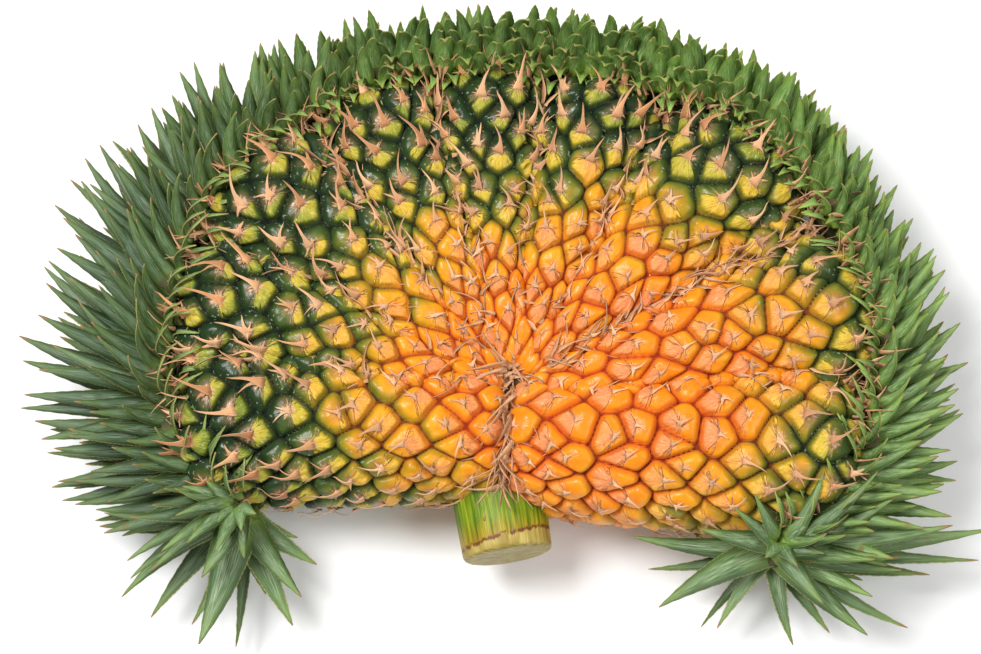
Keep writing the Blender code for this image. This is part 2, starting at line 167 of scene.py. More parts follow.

# %% [markdown]
# ## Small helpers for meshes
#
# A finished piece is one object at the origin, with its place in its mesh. It rides on the only body, takes
# its finish, and hides the solid that it stands for.


# %% Finish a piece
def add_object(name, bm, material):
    mesh = bpy.data.meshes.new(name)
    bm.to_mesh(mesh)
    bm.free()
    mesh.polygons.foreach_set("use_smooth", np.ones(len(mesh.polygons), dtype=bool))
    mesh.materials.append(material)
    made = bpy.data.objects.new(name, mesh)
    bpy.context.scene.collection.objects.link(made)
    return made


def finish_piece(name, bm, material, node, slot):
    piece = add_object(name, bm, material)
    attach(piece, "root")
    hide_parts(node)
    print(name, len(piece.data.polygons), "faces")
    return piece


def turned(ahead, side, angle):
    """Two directions at right angles, turned in their plane."""
    cos, sin = math.cos(angle), math.sin(angle)
    return ahead * cos + side * sin, side * cos - ahead * sin


def read_points(mesh):
    points = np.empty(len(mesh.vertices) * 3)
    mesh.vertices.foreach_get("co", points)
    return points.reshape(-1, 3)


def write_attribute(mesh, name, *values):
    attribute = mesh.attributes.new(name, "FLOAT_VECTOR", "POINT")
    attribute.data.foreach_set("vector", np.stack(values, axis=1).astype(np.float32).ravel())


# %% [markdown]
# ## The staggered lattice of eyes
#
# A pineapple's eyes stand in rows that are shifted by half a step, so each eye meets six others. A grid of
# modelled eyes would repeat too neatly. Here each eye gets a centre on the lattice, nudged a little, and
# each point of the skin belongs to the nearest centre. The distance to the border of its cell says how deep
# the groove is, and the place within the cell says which part of the eye it is. A soft minimum over the
# neighbours rounds the corners of the cells, so the eyes come out as beads and not as tiles.

# %% Cells of the lattice
EYE_ASPECT = 1.15
EYE_JITTER = 0.21
BORDER_SOFTNESS = 0.034
END_MARGIN = 0.015
NEIGHBOURS = [(i, k) for i in (-1, 0, 1) for k in (-1, 0, 1)]


def eye_jitter(lobe):
    """A fixed nudge and a fixed tone for each eye of a lobe, for both halves of the staggered lattice."""
    draw = np.random.default_rng(sum(map(ord, lobe.name)))
    return draw.uniform(-1, 1, (2, lobe.columns, lobe.rows + 3, 3))


def eye_cells(lobe, around, along):
    """For each point: place in its cell (across, towards the rim), distance to the border, and tone."""
    nudge = eye_jitter(lobe)
    p = around * lobe.columns
    q = (along - END_MARGIN) / (1 - 2 * END_MARGIN) * lobe.rows
    centres = []
    tones = []
    for half in (0, 1):
        column = np.floor(p) if half == 0 else np.round(p)
        row = np.round(q) if half == 0 else np.floor(q)
        for i, k in NEIGHBOURS:
            a = (column + i).astype(int) % lobe.columns
            b = np.clip(row + k + 1, 0, lobe.rows + 2).astype(int)
            shift = nudge[half, a, b]
            x = column + i + (0.5 if half == 0 else 0.0) + EYE_JITTER * shift[:, 0]
            y = row + k + (0.0 if half == 0 else 0.5) + EYE_JITTER * shift[:, 1]
            centres.append(np.stack((x - p, (y - q) * EYE_ASPECT), axis=1))
            tones.append(shift[:, 2])
    centres = np.stack(centres)
    distance = np.sum(centres ** 2, axis=2)
    nearest = np.argmin(distance, axis=0)
    pick = np.arange(len(p))
    own = centres[nearest, pick]
    apart = np.linalg.norm(centres - own, axis=2)
    border = (distance - distance[nearest, pick]) / np.maximum(2 * apart, 1e-6)
    border[apart < 1e-6] = 9.0
    rounded = -BORDER_SOFTNESS * np.log(np.sum(np.exp(-border / BORDER_SOFTNESS), axis=0))
    return -own[:, 0], -own[:, 1], np.maximum(rounded, 0.0), np.stack(tones)[nearest, pick]


# %% [markdown]
# ## How ripe each place is
#
# The fan ripens from its heart: the lobes are orange low on the right, green at the rim, with a belt of
# yellow-green between. One soft-edged oval, roughened a little, gives a ripeness from 0 to 1.

# %% Ripeness
RIPE_CENTRE = np.array((0.0400, -0.0410)) + FAN_SHIFT[:2]
RIPE_REACH = np.array((0.128, 0.098))
FULLY_RIPE_WITHIN = 0.5
RIPE_WAVE = 0.06


def ripeness(points):
    x, y = points[:, 0], points[:, 1]
    reach = np.linalg.norm((points[:, :2] - RIPE_CENTRE) / RIPE_REACH, axis=1)
    wave = np.sin(x * 61 + 1.3) * np.sin(y * 73) + 0.6 * np.sin(y * 131 + x * 90)
    return np.clip(1.0 + FULLY_RIPE_WITHIN - reach - RIPE_WAVE * wave, 0.0, 1.0)


# %% [markdown]
# ## The skin of the lobes
#
# Each lobe starts as a sphere of fine facets, because a sphere is closed and its angles give the turn round
# the finger and the position along it. Its points then move to the lobe's skin, and up or down with the
# eyes: steep at the groove and rounded on top, higher on the side of the rim. The bract lies on the hub's
# side of each eye, pleated from the middle outwards.

# %% Make the lobes
FINENESS = 1.0
EYE_RISE = 0.0042
GROOVE_DEPTH = 0.0040
GROOVE_HALF_WIDTH = 0.14
SHOULDER = 0.62
EYE_TILT = 0.0034
BRACT_HALF_ANGLE = 1.22
BRACT_RISE = 0.0005
PLEAT_RISE = 0.00045
DIMPLE = 0.0009
LUMP_RISE = 0.00035
FULL_EYE_WIDTH = 0.022
LEAST_SKIN_HEIGHT = 0.0004
TONE_RIPENESS = 0.13
RIM_UNRIPENESS = 0.16


def eye_lift(lobe, along, across, rimward, border, tone):
    """How far the skin stands off a lobe's smooth form."""
    axial, full = lobe_profile(along)
    width = lobe_half_sizes(lobe, axial)[0] * full
    narrow = np.clip(2 * np.pi * width / lobe.columns / FULL_EYE_WIDTH, 0.35, 1.0)
    wall = (1 - (1 - np.clip(border / GROOVE_HALF_WIDTH, 0, 1)) ** 2) ** 0.7
    dome = SHOULDER * wall + (1 - SHOULDER) * np.sin(0.5 * np.pi * np.clip(border / 0.5, 0, 1))
    lift = (GROOVE_DEPTH + EYE_RISE) * dome - GROOVE_DEPTH + EYE_TILT * rimward * dome
    turn = np.arctan2(across, -rimward)
    middle = np.hypot(across, rimward)
    bract = np.clip((BRACT_HALF_ANGLE - np.abs(turn)) / 0.3, 0, 1) * np.clip(border / 0.12, 0, 1)
    pleats = np.cos(6 * turn + 9 * tone) + 0.7 * np.cos(11 * turn + 23 * tone)
    lift += bract * (BRACT_RISE + PLEAT_RISE * pleats * np.clip(middle / 0.2, 0, 1))
    lift -= DIMPLE * np.exp(-middle ** 2 / 0.005)
    lumps = np.sin(9 * across + 31 * tone) * np.cos(11 * rimward + 17 * tone)
    fine_turn = 19 * across - 13 * rimward + 47 * tone
    lumps += 0.6 * np.sin(fine_turn) * np.cos(16 * rimward + 8 * across + 5 * tone)
    return (lift + LUMP_RISE * lumps * wall) * narrow


def sphere_angles(points):
    """The turn round a unit sphere and the way up it, both from 0 to 1."""
    around = np.arctan2(points[:, 1], points[:, 0]) / (2 * np.pi) % 1.0
    return around, np.arccos(np.clip(-points[:, 2], -1, 1)) / np.pi


def make_lobe(lobe, material, cuts):
    around_cuts, along_cuts = [round(cut * FINENESS) for cut in cuts]
    bm = bmesh.new()
    bmesh.ops.create_uvsphere(bm, u_segments=around_cuts, v_segments=along_cuts, radius=1.0)
    piece = finish_piece("lobe_" + lobe.name, bm, material, "fruit", "rind")
    around, along = sphere_angles(read_points(piece.data))
    across, rimward, border, tone = eye_cells(lobe, around, along)
    skin, outward = lobe_skin(lobe, around, along)
    points = skin + outward * eye_lift(lobe, along, across, rimward, border, tone)[:, None]
    points[:, 2] = np.maximum(points[:, 2], LEAST_SKIN_HEIGHT)
    piece.data.vertices.foreach_set("co", points.ravel())
    ripe = np.clip(ripeness(points) + TONE_RIPENESS * tone - RIM_UNRIPENESS * rimward, 0, 1)
    write_attribute(piece.data, "eye", across, rimward, border)
    write_attribute(piece.data, "tone", ripe, tone, along)
    piece.data.update()


# %% [markdown]
# ## Helpers for finishes
#
# Every finish is a chain of nodes. Written out node by node it would be hard to follow, so a number that a
# node gives takes the plain signs of arithmetic here, and each sign adds the node that it stands for.


# %% Node helpers
class Value:
    """A number that a node gives."""

    def __init__(self, finish, socket):
        self.finish = finish
        self.socket = socket

    def math(self, operation, *others):
        made = self.finish.node("ShaderNodeMath", (self, *others), operation=operation)
        return Value(self.finish, made.outputs[0])

    __add__ = partialmethod(math, "ADD")
    __sub__ = partialmethod(math, "SUBTRACT")
    __mul__ = partialmethod(math, "MULTIPLY")
    __pow__ = partialmethod(math, "POWER")
    __abs__ = partialmethod(math, "ABSOLUTE")

    def ramp(self, start, stop):
        """0 up to the start, 1 from the stop on, and smooth between. The start may be the higher one."""
        inputs = {"Value": self, "From Min": start, "From Max": stop}
        made = self.finish.node("ShaderNodeMapRange", inputs, interpolation_type="SMOOTHSTEP")
        return Value(self.finish, made.outputs["Result"])

    def colours(self, *stops):
        """A row of colours, each with the value it stands at."""
        made = self.finish.node("ShaderNodeValToRGB", (self,))
        elements = made.color_ramp.elements
        while len(elements) < len(stops):
            elements.new(0.5)
        for element, (position, colour) in zip(elements, stops):
            element.position = position
            element.color = (*colour, 1.0)
        return made.outputs["Color"]


class Finish:
    """A material and short ways to add to its nodes."""

    def __init__(self, name, roughness):
        self.material = bpy.data.materials.new(name)
        self.material.use_nodes = True
        self.tree = self.material.node_tree
        self.shader = self.tree.nodes["Principled BSDF"]
        self.set("Roughness", roughness)

    def node(self, kind, inputs=(), **settings):
        """Adds a node, and fills its inputs in their order or by name."""
        made = self.tree.nodes.new(kind)
        for name, value in settings.items():
            setattr(made, name, value)
        for key, value in inputs.items() if isinstance(inputs, dict) else enumerate(inputs):
            self.put(made.inputs[key], value)
        return made

    def put(self, socket, value):
        """Links a socket to another, or gives it a plain value."""
        value = value.socket if isinstance(value, Value) else value
        if isinstance(value, bpy.types.NodeSocket):
            self.tree.links.new(value, socket)
        else:
            socket.default_value = (*value, 1.0) if socket.type == "RGBA" else value

    def set(self, name, value):
        self.put(self.shader.inputs[name], value)

    def mix(self, share, first, second, blend="MIX"):
        inputs = {"Factor": share, "A": first, "B": second}
        return self.node("ShaderNodeMix", inputs, data_type="RGBA", blend_type=blend).outputs["Result"]

    def layers(self, base, *coats):
        """Lays coats of colour over a base, each as thickly as its share says."""
        for share, colour in coats:
            base = self.mix(share, base, colour)
        return base

    def join(self, x, y, z=0.0):
        return self.node("ShaderNodeCombineXYZ", (x, y, z)).outputs[0]

    def split(self, vector):
        return [Value(self, socket) for socket in self.node("ShaderNodeSeparateXYZ", (vector,)).outputs]

    def attribute(self, name):
        """The three numbers of a mesh attribute."""
        return self.split(self.node("ShaderNodeAttribute", attribute_name=name).outputs["Vector"])

    def uv(self):
        """Across a strip and along it, from 0 to 1."""
        return self.split(self.node("ShaderNodeUVMap", uv_map="UVMap").outputs["UV"])[:2]

    def noise(self, scale, detail, where="Object", stretch=None):
        if isinstance(where, str):
            where = self.node("ShaderNodeTexCoord").outputs[where]
        if stretch:
            where = self.node("ShaderNodeMapping", {"Vector": where, "Scale": stretch}).outputs["Vector"]
        inputs = {"Vector": where, "Scale": scale, "Detail": detail}
        return Value(self, self.node("ShaderNodeTexNoise", inputs).outputs["Fac"])

    def bump(self, height, strength, distance, below=None):
        inputs = {"Height": height, "Strength": strength, "Distance": distance}
        if below:
            inputs["Normal"] = below
        return self.node("ShaderNodeBump", inputs).outputs["Normal"]


# %% [markdown]
# ## The rind
#
# Three colours meet in each eye: the dome, dark green or orange; the bract on the hub's side, yellow-green
# or pale orange, torn to points at its edges; and the groove, nearly black in the green and deep red in the
# ripe, partly its own colour and partly painted shade, which also darkens the edge of each dome. All are
# looked up by ripeness, and the place in the eye says which one shows. The points come from a noise read by
# angle and distance from the eye's middle, so its streaks run outward like fibres.

# %% Rind finish
PAPER = (0.80, 0.47, 0.27)
DARK_PAPER = (0.24, 0.10, 0.045)
CORK = (0.15, 0.105, 0.050)
BLUSH = (0.62, 0.17, 0.006)
PALE_FIBRE = (0.93, 0.64, 0.36)
PALE_SPECKS = (0.55, 0.55, 0.46)


def make_rind():
    rind = Finish("rind", 0.38)
    across, rimward, border = rind.attribute("eye")
    ripe, tone, along = rind.attribute("tone")
    blotch = rind.noise(85, 4)
    fine = rind.noise(430, 3)
    middle = (across ** 2.0 + rimward ** 2.0).math("SQRT")
    turn = across.math("ARCTAN2", rimward * -1.0)
    streak = rind.noise(3.2, 4, rind.join(turn, middle * 0.7, tone * 9.0))
    thread = rind.noise(9.0, 3, rind.join(turn, middle * 1.2, tone * 9.0))
    level = ripe + (blotch - 0.5) * 0.55 + (border - 0.15) * 0.9
    unripe = ripe.ramp(0.72, 0.35)

    dome = level.colours(
        (0.00, (0.014, 0.036, 0.009)), (0.20, (0.050, 0.085, 0.012)), (0.38, (0.20, 0.19, 0.014)),
        (0.50, (0.43, 0.24, 0.008)), (0.66, (0.79, 0.33, 0.011)), (1.00, (0.83, 0.235, 0.006)),
    )
    bract = level.colours(
        (0.00, (0.20, 0.25, 0.022)), (0.15, (0.46, 0.40, 0.035)), (0.42, (0.70, 0.46, 0.034)),
        (0.70, (0.84, 0.355, 0.050)), (1.00, (0.86, 0.28, 0.095)),
    )
    edge = ripe.colours(
        (0.00, (0.010, 0.034, 0.006)), (0.40, (0.060, 0.095, 0.008)), (0.60, (0.42, 0.23, 0.010)),
        (0.85, (0.68, 0.14, 0.006)), (1.00, (0.68, 0.098, 0.005)),
    )
    # The groove's own colours, darkened further for painted shade: nearly black in the green.
    groove = ripe.colours(
        (0.00, (0.002, 0.006, 0.002)), (0.45, (0.014, 0.020, 0.003)), (0.68, (0.20, 0.040, 0.003)),
        (1.00, (0.34, 0.030, 0.003)),
    )

    inside = (streak - 0.5) * 2.4 + BRACT_HALF_ANGLE - abs(turn)
    worn = ((streak - 0.5) * 0.5 - middle).ramp(-0.66, -0.32)
    on_bract = inside.ramp(-0.05, 0.22) * worn * border.ramp(0.01, 0.11)
    corky = middle.ramp(0.36, 0.12) * blotch.ramp(0.36, 0.56) * unripe
    blushed = rind.noise(190, 3).ramp(0.50, 0.66) * ripe.ramp(0.45, 0.75)
    torn_edge = abs(inside).ramp(0.16, 0.0) * middle.ramp(0.40, 0.14)
    scar = (middle + (streak - 0.5) * -0.40 + ripe * 0.045).ramp(0.17, 0.09)
    dome = rind.layers(dome, (corky * 0.80, CORK), (blushed * 0.40, BLUSH))
    skin = rind.layers(
        dome,
        (on_bract, bract),
        (on_bract * thread.ramp(0.55, 0.70) * 0.40, PALE_FIBRE),
        (on_bract * thread.ramp(0.47, 0.33) * 0.28, edge),
        (torn_edge * 0.55, PAPER),
        (scar * (ripe * -0.40 + 0.85), rind.mix(thread.ramp(0.34, 0.60), DARK_PAPER, PAPER)),
        # Painted shade: the next two coats darken the skin towards the border of each eye and in the
        # groove, over the groove's own colour.
        (border.ramp(0.13, 0.01) * 0.70, edge),
        (border.ramp(0.045, 0.0), groove),
        # Pale specks, scattered by noise over the green domes.
        (fine.ramp(0.64, 0.69) * unripe * 0.45, PALE_SPECKS),
    )
    rind.set("Base Color", skin)
    rind.set("Roughness", border.ramp(0.10, 0.03) * 0.5 + on_bract * 0.20 + 0.29)
    rind.set("Specular IOR Level", 0.30)
    ridged = rind.bump(thread * on_bract, 0.8, 0.0010)
    edged = rind.bump(streak * 0.8 + on_bract, 0.6, 0.0008, ridged)
    rind.set("Normal", rind.bump(fine, 0.35, 0.0005, edged))
    return rind.material


rind_finish = make_rind()
LOBE_CUTS = (250, 210)
for lobe in LOBES:
    make_lobe(lobe, rind_finish, LOBE_CUTS)

# %% [markdown]
# ## The bottoms of the furrows
#
# Between two lobes the skin runs down into a furrow, and the eyes go on at its bottom. A lower finger in
# each furrow carries them, and a plain lump of flesh closes the hub, so no light comes through.

# %% Furrow bottoms
WEB_FOOT_HALF_WIDTH = 0.012
WEB_FOOT_HALF_HEIGHT = 0.024
WEB_HALF_WIDTH = 0.022
WEB_HALF_HEIGHT = 0.037
WEB_REACH = 0.93
WEB_EYES = (8, 8)
WEB_CUTS = (120, 150)
HUB_HALF_WIDTH = 0.018
HUB_HALF_HEIGHT = 0.030
HUB_SIZES = (HUB_HALF_WIDTH, HUB_HALF_WIDTH, HUB_HALF_HEIGHT, *WEB_EYES, HUB_HALF_HEIGHT)
HUB = Lobe("hub", (-0.002, -0.020), (-0.002, -0.098), *HUB_SIZES)


def make_webs():
    webs = []
    for first, second in zip(LOBES, LOBES[1:]):
        foot = (np.array(first.foot) + np.array(second.foot)) / 2
        to_first = np.array(first.tip) - foot
        to_second = np.array(second.tip) - foot
        reaches = np.linalg.norm(to_first), np.linalg.norm(to_second)
        heading = to_first / reaches[0] + to_second / reaches[1]
        tip = foot + heading / np.linalg.norm(heading) * sum(reaches) / 2 * WEB_REACH
        sizes = (WEB_FOOT_HALF_WIDTH, WEB_HALF_WIDTH, WEB_FOOT_HALF_HEIGHT, *WEB_EYES, WEB_HALF_HEIGHT)
        webs.append(Lobe(f"{first.name}_{second.name}", tuple(foot), tuple(tip), *sizes))
    return webs


WEBS = make_webs()
for web in WEBS:
    make_lobe(web, rind_finish, WEB_CUTS)


# %% Hub flesh
def make_hub_flesh():
    flesh = Finish("hub_flesh", 0.7)
    patch = flesh.noise(90, 4)
    flesh.set("Base Color", patch.colours(
        (0.3, (0.05, 0.022, 0.008)), (0.6, (0.16, 0.07, 0.02)), (0.8, (0.26, 0.13, 0.03)),
    ))
    flesh.set("Normal", flesh.bump(patch, 0.6, 0.002))
    bm = bmesh.new()
    ball = bmesh.ops.create_uvsphere(bm, u_segments=48, v_segments=64, radius=1.0)["verts"]
    around, along = sphere_angles(np.array([vert.co for vert in ball]))
    for vert, point in zip(ball, lobe_skin(HUB, around, along)[0]):
        vert.co = point
    finish_piece("hub_flesh", bm, flesh.material, "fruit", "rind")


make_hub_flesh()

# %% [markdown]
# ## Strips for leaves and bracts
#
# Leaves, dry bract tips and shreds are all long thin sheets. Each starts as a flat grid, gets a UV map that
# runs across and along it, and is then laid where its rule says. A Solidify modifier gives the thickness.


# %% Lay a strip
class Strips:
    """One mesh that gathers many strips."""

    def __init__(self):
        self.bm = bmesh.new()
        self.uv = self.bm.loops.layers.uv.new("UVMap")
        self.tone = self.bm.verts.layers.float_vector.new("tone")
        self.count = 0

    def lay(self, across, along, place, tone):
        """Adds a grid and puts each point where place(a, t) says: a from -1 to 1 across, t from 0 to 1."""
        made = bmesh.ops.create_grid(self.bm, x_segments=across, y_segments=along, size=0.5)["verts"]
        spots = {vert: (2 * vert.co.x, vert.co.y + 0.5) for vert in made}
        for face in {face for vert in made for face in vert.link_faces}:
            for loop in face.loops:
                a, t = spots[loop.vert]
                loop[self.uv].uv = (0.5 + 0.5 * a, t)
        for vert, (a, t) in spots.items():
            vert.co = place(a, t)
            vert[self.tone] = tone
        self.count += 1

    def finish(self, name, material, node, slot, thickness):
        print(name, self.count, "strips")
        piece = finish_piece(name, self.bm, material, node, slot)
        solid = piece.modifiers.new("Thickness", "SOLIDIFY")
        solid.thickness = thickness
        solid.offset = 0.0


# %% [markdown]
# ## The rim and its leaves
#
# The band of leaves follows the tips of the lobes. A smooth line is drawn through them, and leaves stand on
# it in rows: the upper rows rise and hook over, the middle rows lie outward, the lower rows droop to the
# floor. At both ends of the band the leaves turn right round, as in the crown of a common pineapple.

# %% The line of the rim
RIDGE_START = (-0.141, -0.121)
RIDGE_FINISH = (0.137, -0.140)
RIDGE_HALF_HEIGHT = 0.024
RIDGE_HALF_WIDTH = 0.010
RIDGE_OFFSET = 0.004
PATH_STEPS = 12


def rim_line():
    """A smooth line that passes through its marks, with a cubic curve for each stretch between two."""
    marks = [RIDGE_START] + [lobe.tip for lobe in reversed(LOBES)] + [RIDGE_FINISH]
    marks = [np.array((x, y, MID_HEIGHT)) + FAN_SHIFT for x, y in marks]
    ends = [2 * marks[0] - marks[1]] + marks + [2 * marks[-1] - marks[-2]]
    t = np.arange(PATH_STEPS)[:, None] / PATH_STEPS
    line = []
    for a, b, c, d in zip(ends, ends[1:], ends[2:], ends[3:]):
        bend = 2 * b + (c - a) * t + (2 * a - 5 * b + 4 * c - d) * t ** 2 + (3 * b - a - 3 * c + d) * t ** 3
        line.append(bend / 2)
    return np.concatenate([*line, marks[-1:]])


RIM = rim_line()
RIM_STEPS = np.linalg.norm(np.diff(RIM, axis=0), axis=1)
RIM_WAY = np.concatenate(([0.0], np.cumsum(RIM_STEPS)))
RIM_LENGTH = RIM_WAY[-1]


def rim_at(share):
    """The place, the forward direction and the outward direction at a share of the rim's line."""
    distance = share * RIM_LENGTH
    place = Vector([float(np.interp(distance, RIM_WAY, RIM[:, axis])) for axis in range(3)])
    step = min(max(int(np.searchsorted(RIM_WAY, distance)) - 1, 0), len(RIM) - 2)
    forward = Vector(RIM[step + 1] - RIM[step]).normalized()
    return place, forward, Vector((-forward.y, forward.x, 0.0))


print("the rim is", round(RIM_LENGTH, 3), "m long")

# %% [markdown]
# A leaf is a channelled blade: broad at its foot, drawn out to a point, with raised edges and small teeth.
# Its rule bends it along its length, swerves it sideways and twists it a little.

# %% One leaf
LEAF_ACROSS = 4
LEAF_ALONG = 18
LEAF_CHANNEL = 0.24
LEAF_TAPER = (1.5, 0.95)
TOOTH = 0.00025
LEAST_HEIGHT = 0.0012
SPACE_UP = Vector((0, 0, 1))

Blade = namedtuple("Blade", "root heading rise bend length width swerve twist")


def leaf_place(blade):
    """The rule that lays one leaf: its spine is an arc that bends up or down and swerves to one side."""
    out = Vector((math.cos(blade.heading), math.sin(blade.heading), 0))
    side = Vector((-out.y, out.x, 0))
    facing = -1 if blade.rise > 0 else 1

    def place(a, t):
        angle = math.radians(blade.rise + blade.bend * t)
        half_bend = math.radians(blade.bend * t / 2)
        middle = math.radians(blade.rise) + half_bend
        chord = blade.length * t * (math.sin(half_bend) / half_bend if abs(half_bend) > 0.001 else 1.0)
        spine = blade.root + (out * math.cos(middle) + SPACE_UP * math.sin(middle)) * chord
        spine += side * blade.swerve * blade.length * t * t
        normal = (SPACE_UP * math.cos(angle) - out * math.sin(angle)) * facing
        cross, over = turned(side, normal, blade.twist * t)
        full = max((1 - min(t, 1.0) ** LEAF_TAPER[0]) ** LEAF_TAPER[1], 0.02)
        tooth = TOOTH if abs(a) > 0.99 and round(t * LEAF_ALONG) % 2 and t < 0.95 else 0.0
        half = full * blade.width / 2 + tooth
        point = spine + cross * a * half + over * full * blade.width * LEAF_CHANNEL * abs(a) ** 1.3
        point.z = max(point.z, LEAST_HEIGHT + 0.004 * t * t)
        return point

    return place


# %% [markdown]
# The leaves' finish: a blue-green blade with a pale bloom and fine lines along it, yellow-green at the
# foot, with tan toothed edges and a dry brown tip. Inner leaves, leaves on the right of the rim and leaves
# at
# the top of the fan get painted light: their colour is multiplied up to three times brighter and yellower,
# and their bloom is a little fainter.

# %% Leaf finish
BLOOM = (0.30, 0.38, 0.28)
DEEP_GREEN = (0.032, 0.078, 0.020)
FOOT_GREEN = (0.14, 0.22, 0.03)
TIP_GREEN = (0.17, 0.26, 0.04)
# Painted light: the factor that makes a leaf's colour brighter, and yellower as blue is raised less.
PAINTED_LIGHT_WARM_TINT = (3.0, 3.0, 1.6)
TOOTH_TAN = (0.46, 0.40, 0.14)
SPOT_BROWN = (0.22, 0.09, 0.03)
TIP_BROWN = (0.34, 0.17, 0.06)


def make_leaf_finish():
    leaf = Finish("leaf", 0.40)
    across, along = leaf.uv()
    tone, dry, painted_light_and_warmth = leaf.attribute("tone")
    lines = leaf.noise(13, 4, leaf.join(across * 3.5, along * 0.5, dry * 7.0))
    cloud = leaf.noise(70, 4)
    edge = abs(across - 0.5)
    teeth = (along * 150.0).math("SINE").ramp(-0.2, 0.6)
    green = (cloud - 0.5 + tone).colours(
        (0.0, (0.019, 0.050, 0.012)), (0.5, (0.043, 0.092, 0.029)), (1.0, (0.085, 0.150, 0.056)),
    )
    green = leaf.layers(
        green,
        (edge.ramp(0.46, 0.10) * lines.ramp(0.40, 0.66) * (painted_light_and_warmth * -0.15 + 0.70), BLOOM),
        (lines.ramp(0.46, 0.34) * 0.55, DEEP_GREEN),
        (along.ramp(0.35, 0.0) * 0.60, FOOT_GREEN),
        (along.ramp(0.60, 0.95) * 0.35, TIP_GREEN),
    )
    leaf.set("Base Color", leaf.layers(
        # Painted light: the colour multiplied brighter and yellower by the leaf's share of painted light
        # and warmth.
        leaf.mix(painted_light_and_warmth, green, PAINTED_LIGHT_WARM_TINT, "MULTIPLY"),
        (edge.ramp(0.45, 0.495) * (teeth * 0.5 + 0.4), TOOTH_TAN),
        (cloud.ramp(0.66, 0.72) * dry.ramp(0.5, 0.9) * 0.6, SPOT_BROWN),
        ((dry * 0.05 + along).ramp(0.95, 1.02) * 0.8, TIP_BROWN),
    ))
    leaf.set("Normal", leaf.bump(lines, 0.5, 0.0006))
    return leaf.material


# %% [markdown]
# ## Stand the leaves on the rim
#
# Each row says how high on the ridge it stands, how far outward, how steeply it rises, how it bends towards
# the tip, and how long and broad its leaves are. At the top of the fan the leaves are short and curl back
# over the fruit, and at the sides they are long and lie outward, so there are two tables and a blend. The
# leaves round the two ends are few and all show, so each has a line of its own.

# %% Rows of leaves
LEAF_SPACING = 0.0105
LEAF_THICKNESS = 0.0007
STEEPEST = 88
# At the sides: height, offset outward, rise, bend, length, width, how much an inner leaf it is.
LEAF_ROWS = (
    (1.12, -0.011, 70, 118, 0.030, 0.0042, 1.0),
    (1.06, -0.008, 62, 112, 0.038, 0.0056, 1.0),
    (1.00, -0.006, 52, 88, 0.042, 0.0078, 0.7),
    (0.90, -0.003, 38, 34, 0.054, 0.0105, 0.35),
    (0.74, 0.000, 36, 2, 0.066, 0.0125, 0.1),
    (0.54, 0.003, 34, -14, 0.076, 0.0150, 0.0),
    (0.32, 0.005, 23, -12, 0.084, 0.0160, 0.0),
    (0.10, 0.006, 10, -6, 0.090, 0.0165, 0.0),
    (-0.12, 0.005, -4, 4, 0.087, 0.0165, 0.0),
    (-0.34, 0.004, -18, 20, 0.079, 0.0160, 0.0),
    (-0.58, 0.003, -32, 32, 0.067, 0.0150, 0.0),
    (-0.80, 0.000, -48, 40, 0.050, 0.0120, 0.2),
)
# At the top of the fan: rise, bend, length, width.
TOP_ROWS = (
    (86, 76, 0.018, 0.0075),
    (72, 70, 0.025, 0.0095),
    (60, 70, 0.031, 0.0110),
    (50, 70, 0.036, 0.0118),
    (40, 74, 0.040, 0.0122),
    (29, 80, 0.044, 0.0126),
    (18, 84, 0.045, 0.0128),
    (8, 84, 0.042, 0.0130),
    (-4, 80, 0.040, 0.0132),
    (-14, 70, 0.040, 0.0135),
    (-24, 58, 0.038, 0.0132),
    (-34, 44, 0.033, 0.0128),
)
# From the left end of the rim to the right: how much the top's table counts, how long the leaves are, how
# much steeper they stand, and how far they sweep round towards the top. Angles are in degrees.
TOP_PART = (0, 0, 0, 0.35, 0.95, 1, 1, 0.55, 0.12, 0, 0)
LEAF_REACH = (0.70, 0.82, 0.86, 0.66, 0.50, 0.46, 0.46, 0.50, 0.52, 0.60, 0.74)
LEAF_LEAN = (0, 0, 4, 10, 10, 10, 10, 14, 18, 8, 0)
LEAF_SWEEP = (-20, -16, -26, -28, -12, 0, 10, 26, 36, 32, 22)
ROSETTE_INSET = 0.016
